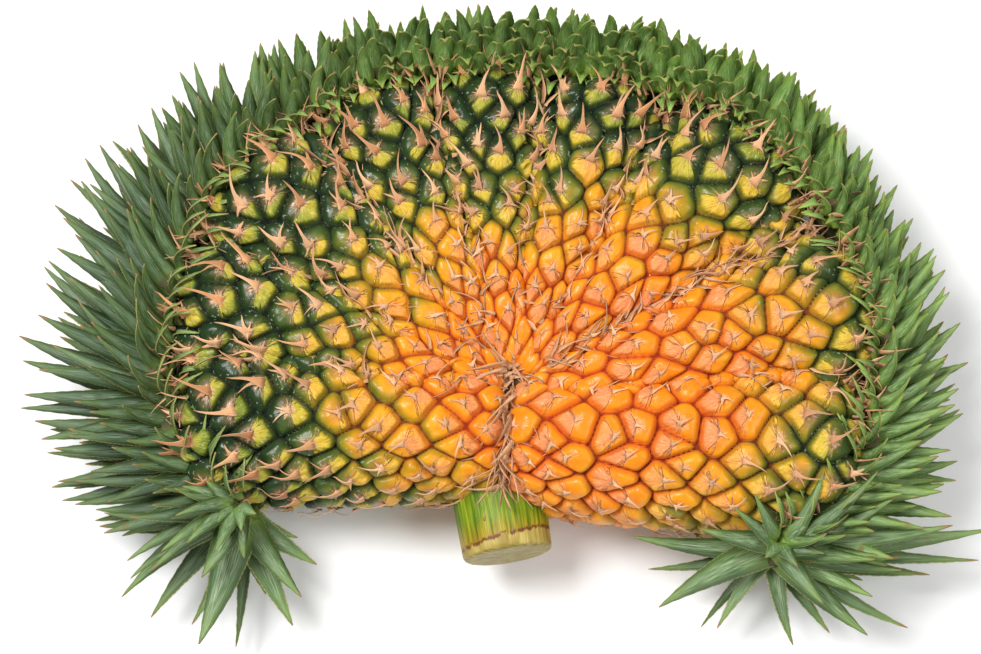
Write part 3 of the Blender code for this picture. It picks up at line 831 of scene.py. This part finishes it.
# Round the left and the right end: how far the tip lies to the right and up, and the width, in millimetres,
# then the height on the ridge, the rise and the swerve.
ROSETTES = (
    (
        (31, -13, 8, -0.5, -12, 0.10), (42, -29, 12, -0.3, -4, 0.08), (36, -47, 14, 0.0, 4, 0.06),
        (29, -62, 16, -0.4, -6, 0.05), (-6, -72, 8, -0.8, -16, -0.10), (-19, -74, 20, 0.1, 8, -0.14),
        (-28, -60, 10, -0.6, -10, -0.12), (-17, -40, 15, 0.7, 26, -0.16), (-60, -49, 12, -0.1, 4, 0.26),
        (-57, -37, 11, 0.2, 12, 0.24), (-58, -29, 10, 0.5, 18, 0.20), (-38, -28, 9, 0.9, 38, 0.10),
        (-44, -37, 10, 0.6, 26, 0.12), (-24, -24, 9, 1.1, 52, 0.10), (-10, -28, 9, 1.1, 48, -0.10),
        (6, -30, 10, 0.8, 34, -0.08), (-62, -16, 12, 0.3, 10, 0.16), (-30, -10, 8, 1.2, 58, 0.20),
        (14, -44, 13, -0.6, -10, 0.05), (-48, -58, 13, -0.5, -8, 0.12), (-20, -2, 9, 1.1, 50, 0.2),
        (-8, -12, 9, 1.15, 60, 0.2), (4, -16, 8, 1.15, 58, -0.2), (12, -7, 8, 1.15, 60, 0.1),
        (-15, 11, 9, 1.15, 58, -0.2), (-28, 7, 9, 1.0, 46, 0.2), (-22, -16, 10, 1.0, 44, 0.15),
    ),
    (
        (-78, 5, 12, 0.0, 2, -0.16), (-69, -11, 8, -0.4, -8, -0.14), (-66, -34, 16, 0.3, 10, 0.10),
        (-41, -41, 7, -0.6, -14, 0.12), (-31, -45, 9, -0.2, -4, 0.12), (11, -52, 10, -0.3, -6, 0.20),
        (21, -35, 12, 0.7, 26, 0.10), (48, -49, 15, 0.1, 6, 0.10), (73, -41, 10, -0.3, -4, 0.16),
        (51, -9, 12, 0.8, 30, 0.16), (65, -15, 11, 0.4, 14, 0.18), (77, -16, 10, -0.2, -4, 0.16),
        (87, -14, 10, -0.5, -8, 0.05), (117, 4, 14, 0.2, 8, 0.08), (112, -4, 10, -0.2, 0, 0.06),
        (-44, 5, 11, 0.9, 34, -0.18), (-26, 16, 9, 1.1, 54, -0.24), (-16, 22, 8, 1.2, 62, -0.20),
        (21, 33, 10, 1.1, 54, 0.36), (48, 33, 11, 1.0, 44, 0.34), (92, 10, 13, 0.5, 18, 0.14),
        (30, -46, 9, -0.7, -16, 0.05), (-54, -24, 9, -0.6, -14, 0.05), (60, 24, 11, 0.7, 30, 0.30),
        (-10, -10, 9, 1.15, 58, -0.2), (8, -15, 9, 1.15, 56, 0.2), (-13, 7, 9, 1.15, 60, 0.2),
        (14, 9, 9, 1.15, 60, 0.2), (22, -8, 10, 1.05, 48, 0.15), (34, 12, 10, 1.0, 46, 0.3),
    ),
)
ROSETTE_RADIUS = 0.002
# The leaves round the two ends get a little painted light and warmth.
ROSETTE_PAINTED_LIGHT_AND_WARMTH = 0.22
MILLIMETRE = 0.001
WIDTH_SCALE = 1.22
ROW_MARGIN = 0.02


def clamp(value, lowest=0.0):
    return max(lowest, min(1.0, value))


def blend_at(values, share):
    return float(np.interp(share * (len(values) - 1), range(len(values)), values))


def row_blades(draw):
    """The leaves that stand in rows along the rim. They sweep and curve towards the top of the fan."""
    count = round(RIM_LENGTH / LEAF_SPACING)
    for row, (side_row, top_row) in enumerate(zip(LEAF_ROWS, TOP_ROWS)):
        level, shift, rise, bend, length, width, inner = side_row
        for index in range(count):
            step = (index + 0.5 * (row % 2) + draw.uniform(-0.2, 0.2)) / (count - 0.5)
            share = ROW_MARGIN + (1 - 2 * ROW_MARGIN) * step
            place, forward, outward = rim_at(share)
            top = clamp(blend_at(TOP_PART, share) + draw.uniform(-0.1, 0.1))
            size = blend_at(LEAF_REACH, share)
            size += (0.85 - size) * 0.5 * inner
            lean = blend_at(LEAF_LEAN, share) * (0.6 - 0.3 * max(0.0, level))
            side = (min(rise + lean, STEEPEST), bend, length * size, width * (0.6 + 0.4 * size))
            shape = [a + (b - a) * top for a, b in zip(side, top_row)]
            way = clamp((share - 0.5) * 5, -1.0)
            sweep = blend_at(LEAF_SWEEP, share) * (1 - 0.5 * inner)
            loose = 11 + 16 * inner * (1 - top)
            heading = math.atan2(forward.x, -forward.y) + math.radians(sweep + draw.uniform(-loose, loose))
            root = place + outward * (shift + draw.uniform(-0.002, 0.002))
            root += SPACE_UP * (level * RIDGE_HALF_HEIGHT + draw.uniform(-0.002, 0.002))
            if inner == 1.0 and index % 2 and top < 0.5:
                continue
            # The second number is the leaf's share of painted light and warmth: more for inner leaves,
            # towards the right and at the top.
            yield share, clamp(0.5 * inner + 0.42 * clamp((share - 0.3) * 3) + 0.50 * top), Blade(
                root, heading, shape[0] + draw.uniform(-9, 9), shape[1] + draw.uniform(-14, 14),
                shape[2] * draw.uniform(0.80, 1.06), shape[3] * draw.uniform(0.85, 1.12),
                way * (0.10 + 0.40 * inner) * (1 - top) + draw.uniform(-0.13, 0.13),
                draw.uniform(-0.5, 0.5),
            )


def rosette_blades(draw):
    """The leaves that turn round the two ends of the rim, each drawn to the place of its tip."""
    for share, leaves in zip((ROSETTE_INSET, 1 - ROSETTE_INSET), ROSETTES):
        place = rim_at(share)[0]
        for east, north, width, level, rise, swerve in leaves:
            bend = -0.9 * rise
            flat = math.cos(math.radians(rise + bend / 2))
            length = math.hypot(east, north) * MILLIMETRE / flat - ROSETTE_RADIUS
            heading = math.atan2(north, east) - math.atan(swerve / flat) + math.radians(draw.uniform(-2, 2))
            root = place + Vector((math.cos(heading), math.sin(heading), 0)) * ROSETTE_RADIUS
            root += SPACE_UP * level * RIDGE_HALF_HEIGHT
            width *= MILLIMETRE * WIDTH_SCALE
            twist = draw.uniform(-0.4, 0.4)
            yield share, ROSETTE_PAINTED_LIGHT_AND_WARMTH, Blade(root, heading, rise, bend, length, width, swerve, twist)


def make_leaves(material):
    draw = random.Random(5)
    groups = {"left": Strips(), "top": Strips(), "right": Strips()}
    for share, painted_light_and_warmth, blade in [*row_blades(draw), *rosette_blades(draw)]:
        tone = (draw.uniform(0.1, 0.9), draw.uniform(0, 1), painted_light_and_warmth)
        group = "left" if share < 0.36 else "top" if share < 0.66 else "right"
        groups[group].lay(LEAF_ACROSS, LEAF_ALONG, leaf_place(blade), tone)
    for name, strips in groups.items():
        strips.finish("crown_leaves_" + name, material, "crown", "leaves", LEAF_THICKNESS)


make_leaves(make_leaf_finish())

# %% [markdown]
# ## The core under the leaves
#
# The leaf bases sit on a fleshy ridge. Little of it shows, but it fills what the leaves leave open. It is a
# sphere of many cuts, drawn out along the line of the rim.

# %% Crown core
def make_core():
    core = Finish("crown_core", 0.8)
    patch = core.noise(120, 4)
    core.set("Base Color", patch.colours(
        (0.3, (0.035, 0.045, 0.012)), (0.55, (0.10, 0.09, 0.03)), (0.75, (0.20, 0.12, 0.05)),
    ))
    core.set("Normal", core.bump(patch, 0.8, 0.003))
    bm = bmesh.new()
    bmesh.ops.create_uvsphere(bm, u_segments=24, v_segments=120, radius=1.0)
    for vert in bm.verts:
        share = math.acos(clamp(-vert.co.z, -1.0)) / math.pi
        full = min(1.0, 6 * math.sqrt(max(0.0, share * (1 - share))))
        turn = math.atan2(vert.co.y, vert.co.x)
        if math.hypot(vert.co.x, vert.co.y) < 1e-5:
            full = 0.0
        place, forward, outward = rim_at(share)
        across = outward * (RIDGE_OFFSET + math.cos(turn) * RIDGE_HALF_WIDTH * full)
        vert.co = place + across + SPACE_UP * (math.sin(turn) * RIDGE_HALF_HEIGHT * full)
    bmesh.ops.recalc_face_normals(bm, faces=bm.faces)
    finish_piece("crown_core", bm, core.material, "crown", "leaves")


make_core()

# %% [markdown]
# ## The dry tips of the eyes
#
# In the middle of each eye the bract ends in a dry papery tip, which points to the rim, curls and splits.
# Tips are strips that start broad on the eye and narrow at once, with two small side points.

# %% Where the eyes are
Eye = namedtuple("Eye", "place rimward side outward width ripe tone")


def lattice(lobe):
    """The turn, the position and the tone of every eye of a lobe."""
    half, column, row = np.indices((2, lobe.columns, lobe.rows + 1)).reshape(3, -1)
    x, y, tone = eye_jitter(lobe)[half, column, row + 1].T
    around = (column + 0.5 * (1 - half) + EYE_JITTER * x) / lobe.columns % 1.0
    along = END_MARGIN + (1 - 2 * END_MARGIN) * (row + 0.5 * half + EYE_JITTER * y) / lobe.rows
    inside = (along > 0.03) & (along < 0.93)
    return around[inside], along[inside], tone[inside]


def find_eyes():
    """Every eye that isn't buried in another lobe."""
    found = []
    fingers = LOBES + WEBS
    for lobe in fingers:
        around, along, tone = lattice(lobe)
        places, outward = lobe_skin(lobe, around, along)
        ahead = lobe_skin(lobe, around, along + 0.01)[0] - places
        ahead /= np.linalg.norm(ahead, axis=1)[:, None]
        cover = np.max([lobe_height(other, places) for other in fingers if other is not lobe], axis=0)
        shown = np.abs(places[:, 2] - MID_HEIGHT) > cover - 0.001
        zero = np.zeros(len(along))
        lift = eye_lift(lobe, along, zero, zero, zero + 0.4, zero)
        axial, full = lobe_profile(along)
        width = 2 * np.pi * lobe_half_sizes(lobe, axial)[0] * full / lobe.columns
        ripe = ripeness(places)
        for index in np.flatnonzero(shown):
            normal = Vector(outward[index])
            rimward = Vector(ahead[index])
            rimward = (rimward - normal * rimward.dot(normal)).normalized()
            place = Vector(places[index]) + normal * float(lift[index])
            numbers = [float(values[index]) for values in (width, ripe, tone)]
            found.append(Eye(place, rimward, normal.cross(rimward), normal, *numbers))
    return found


EYES = find_eyes()
print(len(EYES), "eyes show")

# %% [markdown]
# The finish of everything dry on the fruit: pinkish tan, with fibres along it, paler at the edges and brown
# at the tip.

# %% Dry bract finish
PALE_EDGE = (0.95, 0.68, 0.42)
DARK_FIBRE = (0.22, 0.10, 0.05)
RIPE_TAN = (0.93, 0.60, 0.36)
ROT_BROWN = (0.16, 0.075, 0.035)
BURNT_TIP = (0.24, 0.12, 0.06)


def make_dry_finish():
    dry = Finish("dry_bract", 0.75)
    across, along = dry.uv()
    tone, ripe, brown = dry.attribute("tone")
    fibres = dry.noise(7, 3, "UV", (5.0, 0.5, 1.0))
    tan = tone.colours((0.0, (0.38, 0.14, 0.045)), (0.5, (0.68, 0.30, 0.115)), (1.0, (0.86, 0.50, 0.26)))
    dry.set("Base Color", dry.layers(
        tan,
        (abs(across - 0.5).ramp(0.30, 0.5) * 0.45, PALE_EDGE),
        (fibres.ramp(0.5, 0.7) * 0.45, DARK_FIBRE),
        (ripe * 0.45, RIPE_TAN),
        (brown * 0.6, ROT_BROWN),
        (along.ramp(0.75, 1.0) * 0.35, BURNT_TIP),
    ))
    dry.set("Normal", dry.bump(fibres, 0.5, 0.0005))
    return dry.material


dry_finish = make_dry_finish()

# %% Dry tips
TIP_LONG = 0.023
TIP_SHORT = 0.012
RIPE_SHORTENING = 0.60
TIP_WIDTH = 0.0062
SIDE_POINT_WIDTH = 0.0024
DRY_THICKNESS = 0.00025
LEAST_DRY_HEIGHT = 0.0008


def tip_place(eye, swing, length, width, curl, hook, spread, lift):
    """The rule that lays one dry strip from an eye: it hugs the eye, lifts off and curls over."""
    ahead, side = turned(eye.rimward, eye.side, swing)

    def place(a, t):
        height = lift * math.sin(math.pi * min(1.0, t * 1.15)) + hook * t * t
        narrow = (1 - t) ** 0.6 * (0.34 + 0.66 * math.exp(-((t / spread) ** 2)))
        point = eye.place + ahead * (length * (t - 0.12)) + side * (length * curl * t * t)
        point += side * (a * width * 0.5 * narrow + 0.0001 * a)
        point += eye.outward * (0.0005 + height * length + 0.30 * width * narrow * abs(a) * t)
        point.z = max(point.z, LEAST_DRY_HEIGHT)
        return point

    return place


def make_tips():
    draw = random.Random(21)
    strips = Strips()
    for eye in EYES:
        tone = (draw.uniform(0.1, 1.0), eye.ripe, draw.uniform(0, 0.35))
        shrink = 1.0 - RIPE_SHORTENING * eye.ripe
        second = (draw.gauss(0, 0.5), draw.uniform(0.3, 0.7))
        main = (draw.gauss(0, 0.28), 1.0)
        for swing, size in [main] if draw.random() < 0.7 * eye.ripe else [main, second]:
            length = draw.uniform(TIP_SHORT, TIP_LONG) * shrink * size
            width = min(TIP_WIDTH, eye.width * 0.34) * draw.uniform(0.8, 1.2) * shrink
            lift, curl, hook = draw.uniform(0.05, 0.24), draw.gauss(0, 0.35), draw.uniform(-0.05, 0.34)
            strips.lay(2, 8, tip_place(eye, swing, length, width, curl, hook, 0.24, lift), tone)
        for way in (-1, 1):
            swing = way * draw.uniform(0.9, 2.2)
            if draw.random() < 0.75 * eye.ripe:
                continue
            length = draw.uniform(0.0035, 0.007)
            rule = tip_place(eye, swing, length, SIDE_POINT_WIDTH, draw.gauss(0, 0.3), 0.2, 0.5, 0.10)
            strips.lay(1, 3, rule, tone)
    strips.finish("dry_tips", dry_finish, "fruit", "rind", DRY_THICKNESS)


make_tips()

# %% [markdown]
# ## Shreds in the furrows
#
# Where two lobes press together, their bracts stay in the furrow and dry there, thickest in the deep ones.
# The furrow's bottom is found by asking, at steps along it, where the taller of the two skins is lowest.

# %% Furrow shreds
FURROW_STEPS = 28
# How thickly each furrow is filled, from the lowest on the right round to the lowest on the left.
FURROW_FILL = (0.25, 1.3, 0.5, 0.55, 0.9, 0.8, 0.25, 0.25)


def furrow_points(web, first, second):
    """Points down a furrow, from hub to rim, with the directions along and across it."""
    foot, axis, side = lobe_frame(web)
    points = []
    for share in np.linspace(0.05, 0.99, FURROW_STEPS):
        across = np.linspace(-0.02, 0.02, 41)
        spots = foot + axis * share + across[:, None] * side
        skin = np.maximum(lobe_height(first, spots), lobe_height(second, spots))
        skin = np.maximum(skin, lobe_height(web, spots))
        lowest = int(np.argmin(skin + 0.2 * np.abs(across)))
        points.append((spots[lowest], float(skin[lowest])))
    return points, Vector(axis).normalized(), Vector(side)


def shred_place(root, ahead, side, up, length, width, curl, wave, lift):
    def place(a, t):
        point = root + ahead * (length * t) + side * (length * curl * t * t)
        point += up * (length * (lift * t + wave * math.sin(5 * t)))
        narrow = (1 - 0.85 * t) * (0.75 + 0.25 * math.sin(9 * t + width * 3000))
        point += side * (a * width * 0.5 * narrow)
        point += up * (a * width * 0.35 * math.sin(3 * t + width * 1000))
        point.z = max(point.z, LEAST_DRY_HEIGHT)
        return point

    return place


def lay_shred(strips, draw, root, along, side, up, spread, longest, browning):
    """One shred from a root: it heads roughly along a line, as far off it as the spread allows."""
    rule = shred_place(
        root, *turned(along, side, draw.gauss(0, spread)), up,
        draw.uniform(0.45, 1.0) * longest, draw.uniform(0.0014, 0.0040),
        draw.gauss(0, 0.5), draw.uniform(-0.10, 0.10), draw.uniform(0.0, 0.40),
    )
    strips.lay(2, 7, rule, (draw.uniform(0, 0.95), 0.35, draw.uniform(0.0, browning)))


def make_shreds():
    draw = random.Random(33)
    strips = Strips()
    for web, first, second, fill in zip(WEBS, LOBES, LOBES[1:], FURROW_FILL):
        points, along, side = furrow_points(web, first, second)
        for face in (1, -1):
            for spot, height in points:
                for repeat in range(int(fill * (2 if face > 0 else 1) + draw.random())):
                    root = Vector(spot) + side * draw.uniform(-0.004, 0.004)
                    root += along * draw.uniform(-0.004, 0.004)
                    root.z = MID_HEIGHT + face * (height + draw.uniform(0.001, 0.004))
                    lay_shred(strips, draw, root, along, side, Vector((0, 0, face)), 0.8, 0.020, 0.6)
    strips.finish("furrow_shreds", dry_finish, "fruit", "rind", DRY_THICKNESS)


make_shreds()

# %% [markdown]
# At the hub, and down the crease between the two lowest lobes, the oldest bracts hang together in long
# brown strips. More of them make a ragged collar round the top of the stem.

# %% Hub bracts and collar
CREASE_START = np.array((0.000, -0.034)) + FAN_SHIFT[:2]
CREASE_END = np.array((-0.004, -0.098)) + FAN_SHIFT[:2]
CREASE_STRIPS = 90
COLLAR_STRIPS = 70
STEM_RADIUS = 0.0262
STEM_END_RADIUS = 0.0245
STEM_TOP = Vector((-0.010, -0.080, 0.045)) + Vector(FAN_SHIFT)
STEM_END = Vector((-0.001, -0.1355, 0.0485)) + Vector(FAN_SHIFT)
COLLAR_AT = 0.20


def skin_height(spot):
    """How high the fruit's smooth skin stands over its mid plane at an X and Y place."""
    places = np.array([(*spot, 0.0)])
    return max(float(lobe_height(lobe, places)[0]) for lobe in LOBES + WEBS + [HUB])


def make_hub_bracts():
    draw = random.Random(61)
    strips = Strips()
    heading = CREASE_END - CREASE_START
    along = Vector((*heading, 0)).normalized()
    side = Vector((-along.y, along.x, 0))
    for index in range(CREASE_STRIPS):
        share = draw.random() ** 1.4
        spot = CREASE_START + heading * share + np.array(side[:2]) * draw.gauss(0, 0.0022)
        for face in (1, -1) if index % 3 == 0 else (1,):
            root = Vector((*spot, MID_HEIGHT + face * (skin_height(spot) + draw.uniform(0.000, 0.005))))
            spread = 1.6 if share < 0.15 else 0.6
            lay_shred(strips, draw, root, along, side, Vector((0, 0, face)), spread, 0.026, 0.9)
    axis = (STEM_END - STEM_TOP).normalized()
    across = axis.cross(SPACE_UP).normalized()
    for index in range(COLLAR_STRIPS):
        turn = 2 * math.pi * (index + draw.uniform(0, 1)) / COLLAR_STRIPS
        up = across * math.cos(turn) + axis.cross(across) * math.sin(turn)
        place = STEM_TOP + (STEM_END - STEM_TOP) * (COLLAR_AT + draw.uniform(-0.10, 0.10))
        root = place + up * (STEM_RADIUS + draw.uniform(0.0005, 0.004))
        lay_shred(strips, draw, root, axis * draw.choice((1, -1)), axis.cross(up), up, 0.7, 0.013, 0.7)
    strips.finish("hub_bracts", dry_finish, "fruit", "rind", DRY_THICKNESS)


make_hub_bracts()

# %% [markdown]
# ## Dry bracts between fruit and crown
#
# The last bracts before the crown are the longest, dry and brown, and stick up between the fruit's rim and
# the hooked inner leaves.

# %% Rim bracts
RIM_BRACTS = 330


def make_rim_bracts():
    draw = random.Random(8)
    strips = Strips()
    for index in range(RIM_BRACTS):
        share = 0.05 + 0.90 * (index + draw.uniform(0, 1)) / RIM_BRACTS
        place, forward, outward = rim_at(share)
        browning = 0.35 + 0.55 * blend_at(TOP_PART, share)
        root = place - outward * draw.uniform(0.004, 0.022) + forward * draw.uniform(-0.004, 0.004)
        root.z = MID_HEIGHT + draw.uniform(0.020, 0.034)
        lay_shred(strips, draw, root, outward, forward, SPACE_UP, 0.7, 0.022, browning)
    strips.finish("rim_bracts", dry_finish, "crown", "rind", DRY_THICKNESS)


make_rim_bracts()

# %% [markdown]
# ## The cut stem
#
# The stem is a fibrous green rod with a ring-shaped scar, cut square and slightly bevelled. It starts as a
# cone of many sides, gets cuts along it, and its points then move in and out with the fibres.

# %% Stem finish
SCAR_AT = 0.85
SCAR_SLANT = 0.05
OLD_BROWN = (0.16, 0.10, 0.02)
SCAR_BROWN = (0.16, 0.045, 0.015)
PALE_ENDS = (0.32, 0.22, 0.04), (0.52, 0.42, 0.12)


def make_stem_finish():
    stem = Finish("stem", 0.42)
    along, around, cap = stem.attribute("stem")
    fibre = stem.noise(1.0, 4, stem.join(around * 85.0, along * 1.6))
    broad = stem.noise(1.0, 3, stem.join(around * 16.0, along * 1.2))
    grain = stem.noise(260, 4)
    cut_fibre = stem.noise(1.0, 4, "Object", (90.0, 900.0, 900.0))
    stray = fibre - 0.5
    green = (stray * 1.1 + broad).colours(
        (0.20, (0.045, 0.070, 0.003)), (0.45, (0.105, 0.190, 0.004)),
        (0.60, (0.19, 0.28, 0.006)), (0.85, (0.38, 0.42, 0.035)),
    )
    ochre = fibre.colours((0.3, (0.22, 0.10, 0.01)), (0.6, (0.38, 0.29, 0.014)), (0.8, (0.52, 0.42, 0.05)))
    cut = cut_fibre.colours((0.3, (0.15, 0.11, 0.02)), (0.5, (0.30, 0.23, 0.05)), (0.7, (0.46, 0.37, 0.12)))
    past_scar = (around * (2 * math.pi)).math("COSINE") * SCAR_SLANT + along + stray * 0.10
    scarred = abs(past_scar - SCAR_AT).ramp(0.030, 0.006)
    stem.set("Base Color", stem.layers(
        green,
        ((stray * 0.5 + along).ramp(0.62, 0.88), ochre),
        (along.ramp(0.45, 0.20) * broad.ramp(0.40, 0.60) * 0.6, OLD_BROWN),
        (past_scar.ramp(SCAR_AT, SCAR_AT + 0.02), stem.mix(broad.ramp(0.40, 0.60), *PALE_ENDS)),
        (scarred * grain.ramp(0.36, 0.50), SCAR_BROWN),
        (cap, cut),
    ))
    stem.set("Specular IOR Level", 0.25)
    ribbed = stem.bump(fibre, 0.7, 0.0012)
    stem.set("Normal", stem.bump(grain, 0.35, 0.0008, ribbed))
    return stem.material


# %% Stem
STEM_SIDES = 120
STEM_CUTS = 24
STEM_BEVEL = 0.0030
FIBRE_RELIEF = 0.00014


def make_stem():
    length = (STEM_END - STEM_TOP).length
    bm = bmesh.new()
    radii = {"radius1": STEM_RADIUS, "radius2": STEM_END_RADIUS}
    bmesh.ops.create_cone(bm, cap_ends=True, segments=STEM_SIDES, depth=length, **radii)
    rim_edges = [edge for edge in bm.edges if all(vert.co.z > 0 for vert in edge.verts)]
    bevel = {"offset": STEM_BEVEL, "offset_type": "OFFSET", "segments": 4, "profile": 0.5}
    bmesh.ops.bevel(bm, geom=rim_edges, affect="EDGES", material=-1, **bevel)
    for cut in range(1, STEM_CUTS):
        parts = bm.verts[:] + bm.edges[:] + bm.faces[:]
        level = (0, 0, length * (cut / STEM_CUTS - 0.5) * 0.94)
        bmesh.ops.bisect_plane(bm, geom=parts, dist=0.00005, plane_co=level, plane_no=(0, 0, 1))
    caps = [face for face in bm.faces if abs(face.normal.z) > 0.98 and len(face.verts) > 8]
    bmesh.ops.inset_region(bm, faces=caps, thickness=0.004)
    layer = bm.verts.layers.float_vector.new("stem")
    draw = random.Random(3)
    waves = [(draw.randint(9, 40), draw.uniform(0, 6.3), draw.uniform(0.3, 1.0)) for _ in range(9)]
    for vert in bm.verts:
        turn = math.atan2(vert.co.y, vert.co.x)
        share = vert.co.z / length + 0.5
        radius = math.hypot(vert.co.x, vert.co.y)
        cap = 1.0 if vert.co.z > length * 0.5 - 0.0010 else 0.0
        wave = sum(size * math.sin(count * turn + phase + 2.0 * share) for count, phase, size in waves)
        vert[layer] = (share, turn / (2 * math.pi), cap)
        if radius > 0.5 * STEM_END_RADIUS:
            vert.co.x *= 1 + FIBRE_RELIEF * wave / radius
            vert.co.y *= 1 + FIBRE_RELIEF * wave / radius
    spin = SPACE_UP.rotation_difference(STEM_END - STEM_TOP).to_matrix()
    bmesh.ops.rotate(bm, verts=bm.verts, cent=(0, 0, 0), matrix=spin)
    bmesh.ops.translate(bm, verts=bm.verts, vec=(STEM_TOP + STEM_END) / 2)
    bmesh.ops.recalc_face_normals(bm, faces=bm.faces)
    finish_piece("cut_stem", bm, make_stem_finish(), "stem", "stem")


make_stem()

# %% [markdown]
# ## Floor, light and camera
#
# The fruit lies on a plain pale floor under a large soft light from the upper left, with a pale surround
# that fills the shadows. The camera looks down on it through a long lens, a little from the stem's side.

# %% Floor
def make_floor():
    finish = Finish("floor", 0.9)
    finish.set("Base Color", (0.94, 0.94, 0.94))
    bm = bmesh.new()
    bmesh.ops.create_grid(bm, x_segments=1, y_segments=1, size=6.0)
    floor = add_object("floor", bm, finish.material)


make_floor()


# %% Light
KEY = ("key", (-0.66, 0.24, 1.50), 0.7, 28)
FILL = ("fill", (1.0, -0.4, 1.3), 1.0, 10)
WORLD_STRENGTH = 0.40


def aim(thing, place, target):
    thing.location = place
    thing.rotation_euler = (target - place).to_track_quat("-Z", "Y").to_euler()
    bpy.context.scene.collection.objects.link(thing)


centre = (CAD_BOX[0] + CAD_BOX[1]) / 2
for name, offset, size, power in (KEY, FILL):
    lamp = bpy.data.lights.new(name, "AREA")
    lamp.shape = "DISK"
    lamp.size = size
    lamp.energy = power
    aim(bpy.data.objects.new(name, lamp), centre + Vector(offset), centre)
print("lights", KEY[0], FILL[0])

world = bpy.data.worlds.new("studio")
world.use_nodes = True
background = world.node_tree.nodes["Background"]
background.inputs["Color"].default_value = (1.0, 1.0, 1.0, 1.0)
background.inputs["Strength"].default_value = WORLD_STRENGTH
bpy.context.scene.world = world
bpy.context.scene.view_settings.view_transform = "Standard"

# %% Camera
IMAGE_WIDTH = 981
METRES_PER_PIXEL = 0.00056
ELEVATION = 78
LENS = 100
SENSOR = 36
TARGET = Vector((-0.0109, -0.0069, MID_HEIGHT)) + Vector(FAN_SHIFT)


def make_camera():
    data = bpy.data.cameras.new("camera")
    data.lens = LENS
    data.sensor_width = SENSOR
    camera = bpy.data.objects.new("camera", data)
    distance = IMAGE_WIDTH * METRES_PER_PIXEL * LENS / SENSOR
    rise = math.radians(ELEVATION)
    aim(camera, TARGET + Vector((0, -math.cos(rise), math.sin(rise))) * distance, TARGET)
    bpy.context.scene.camera = camera
    print("camera", [round(value, 3) for value in camera.location])


make_camera()
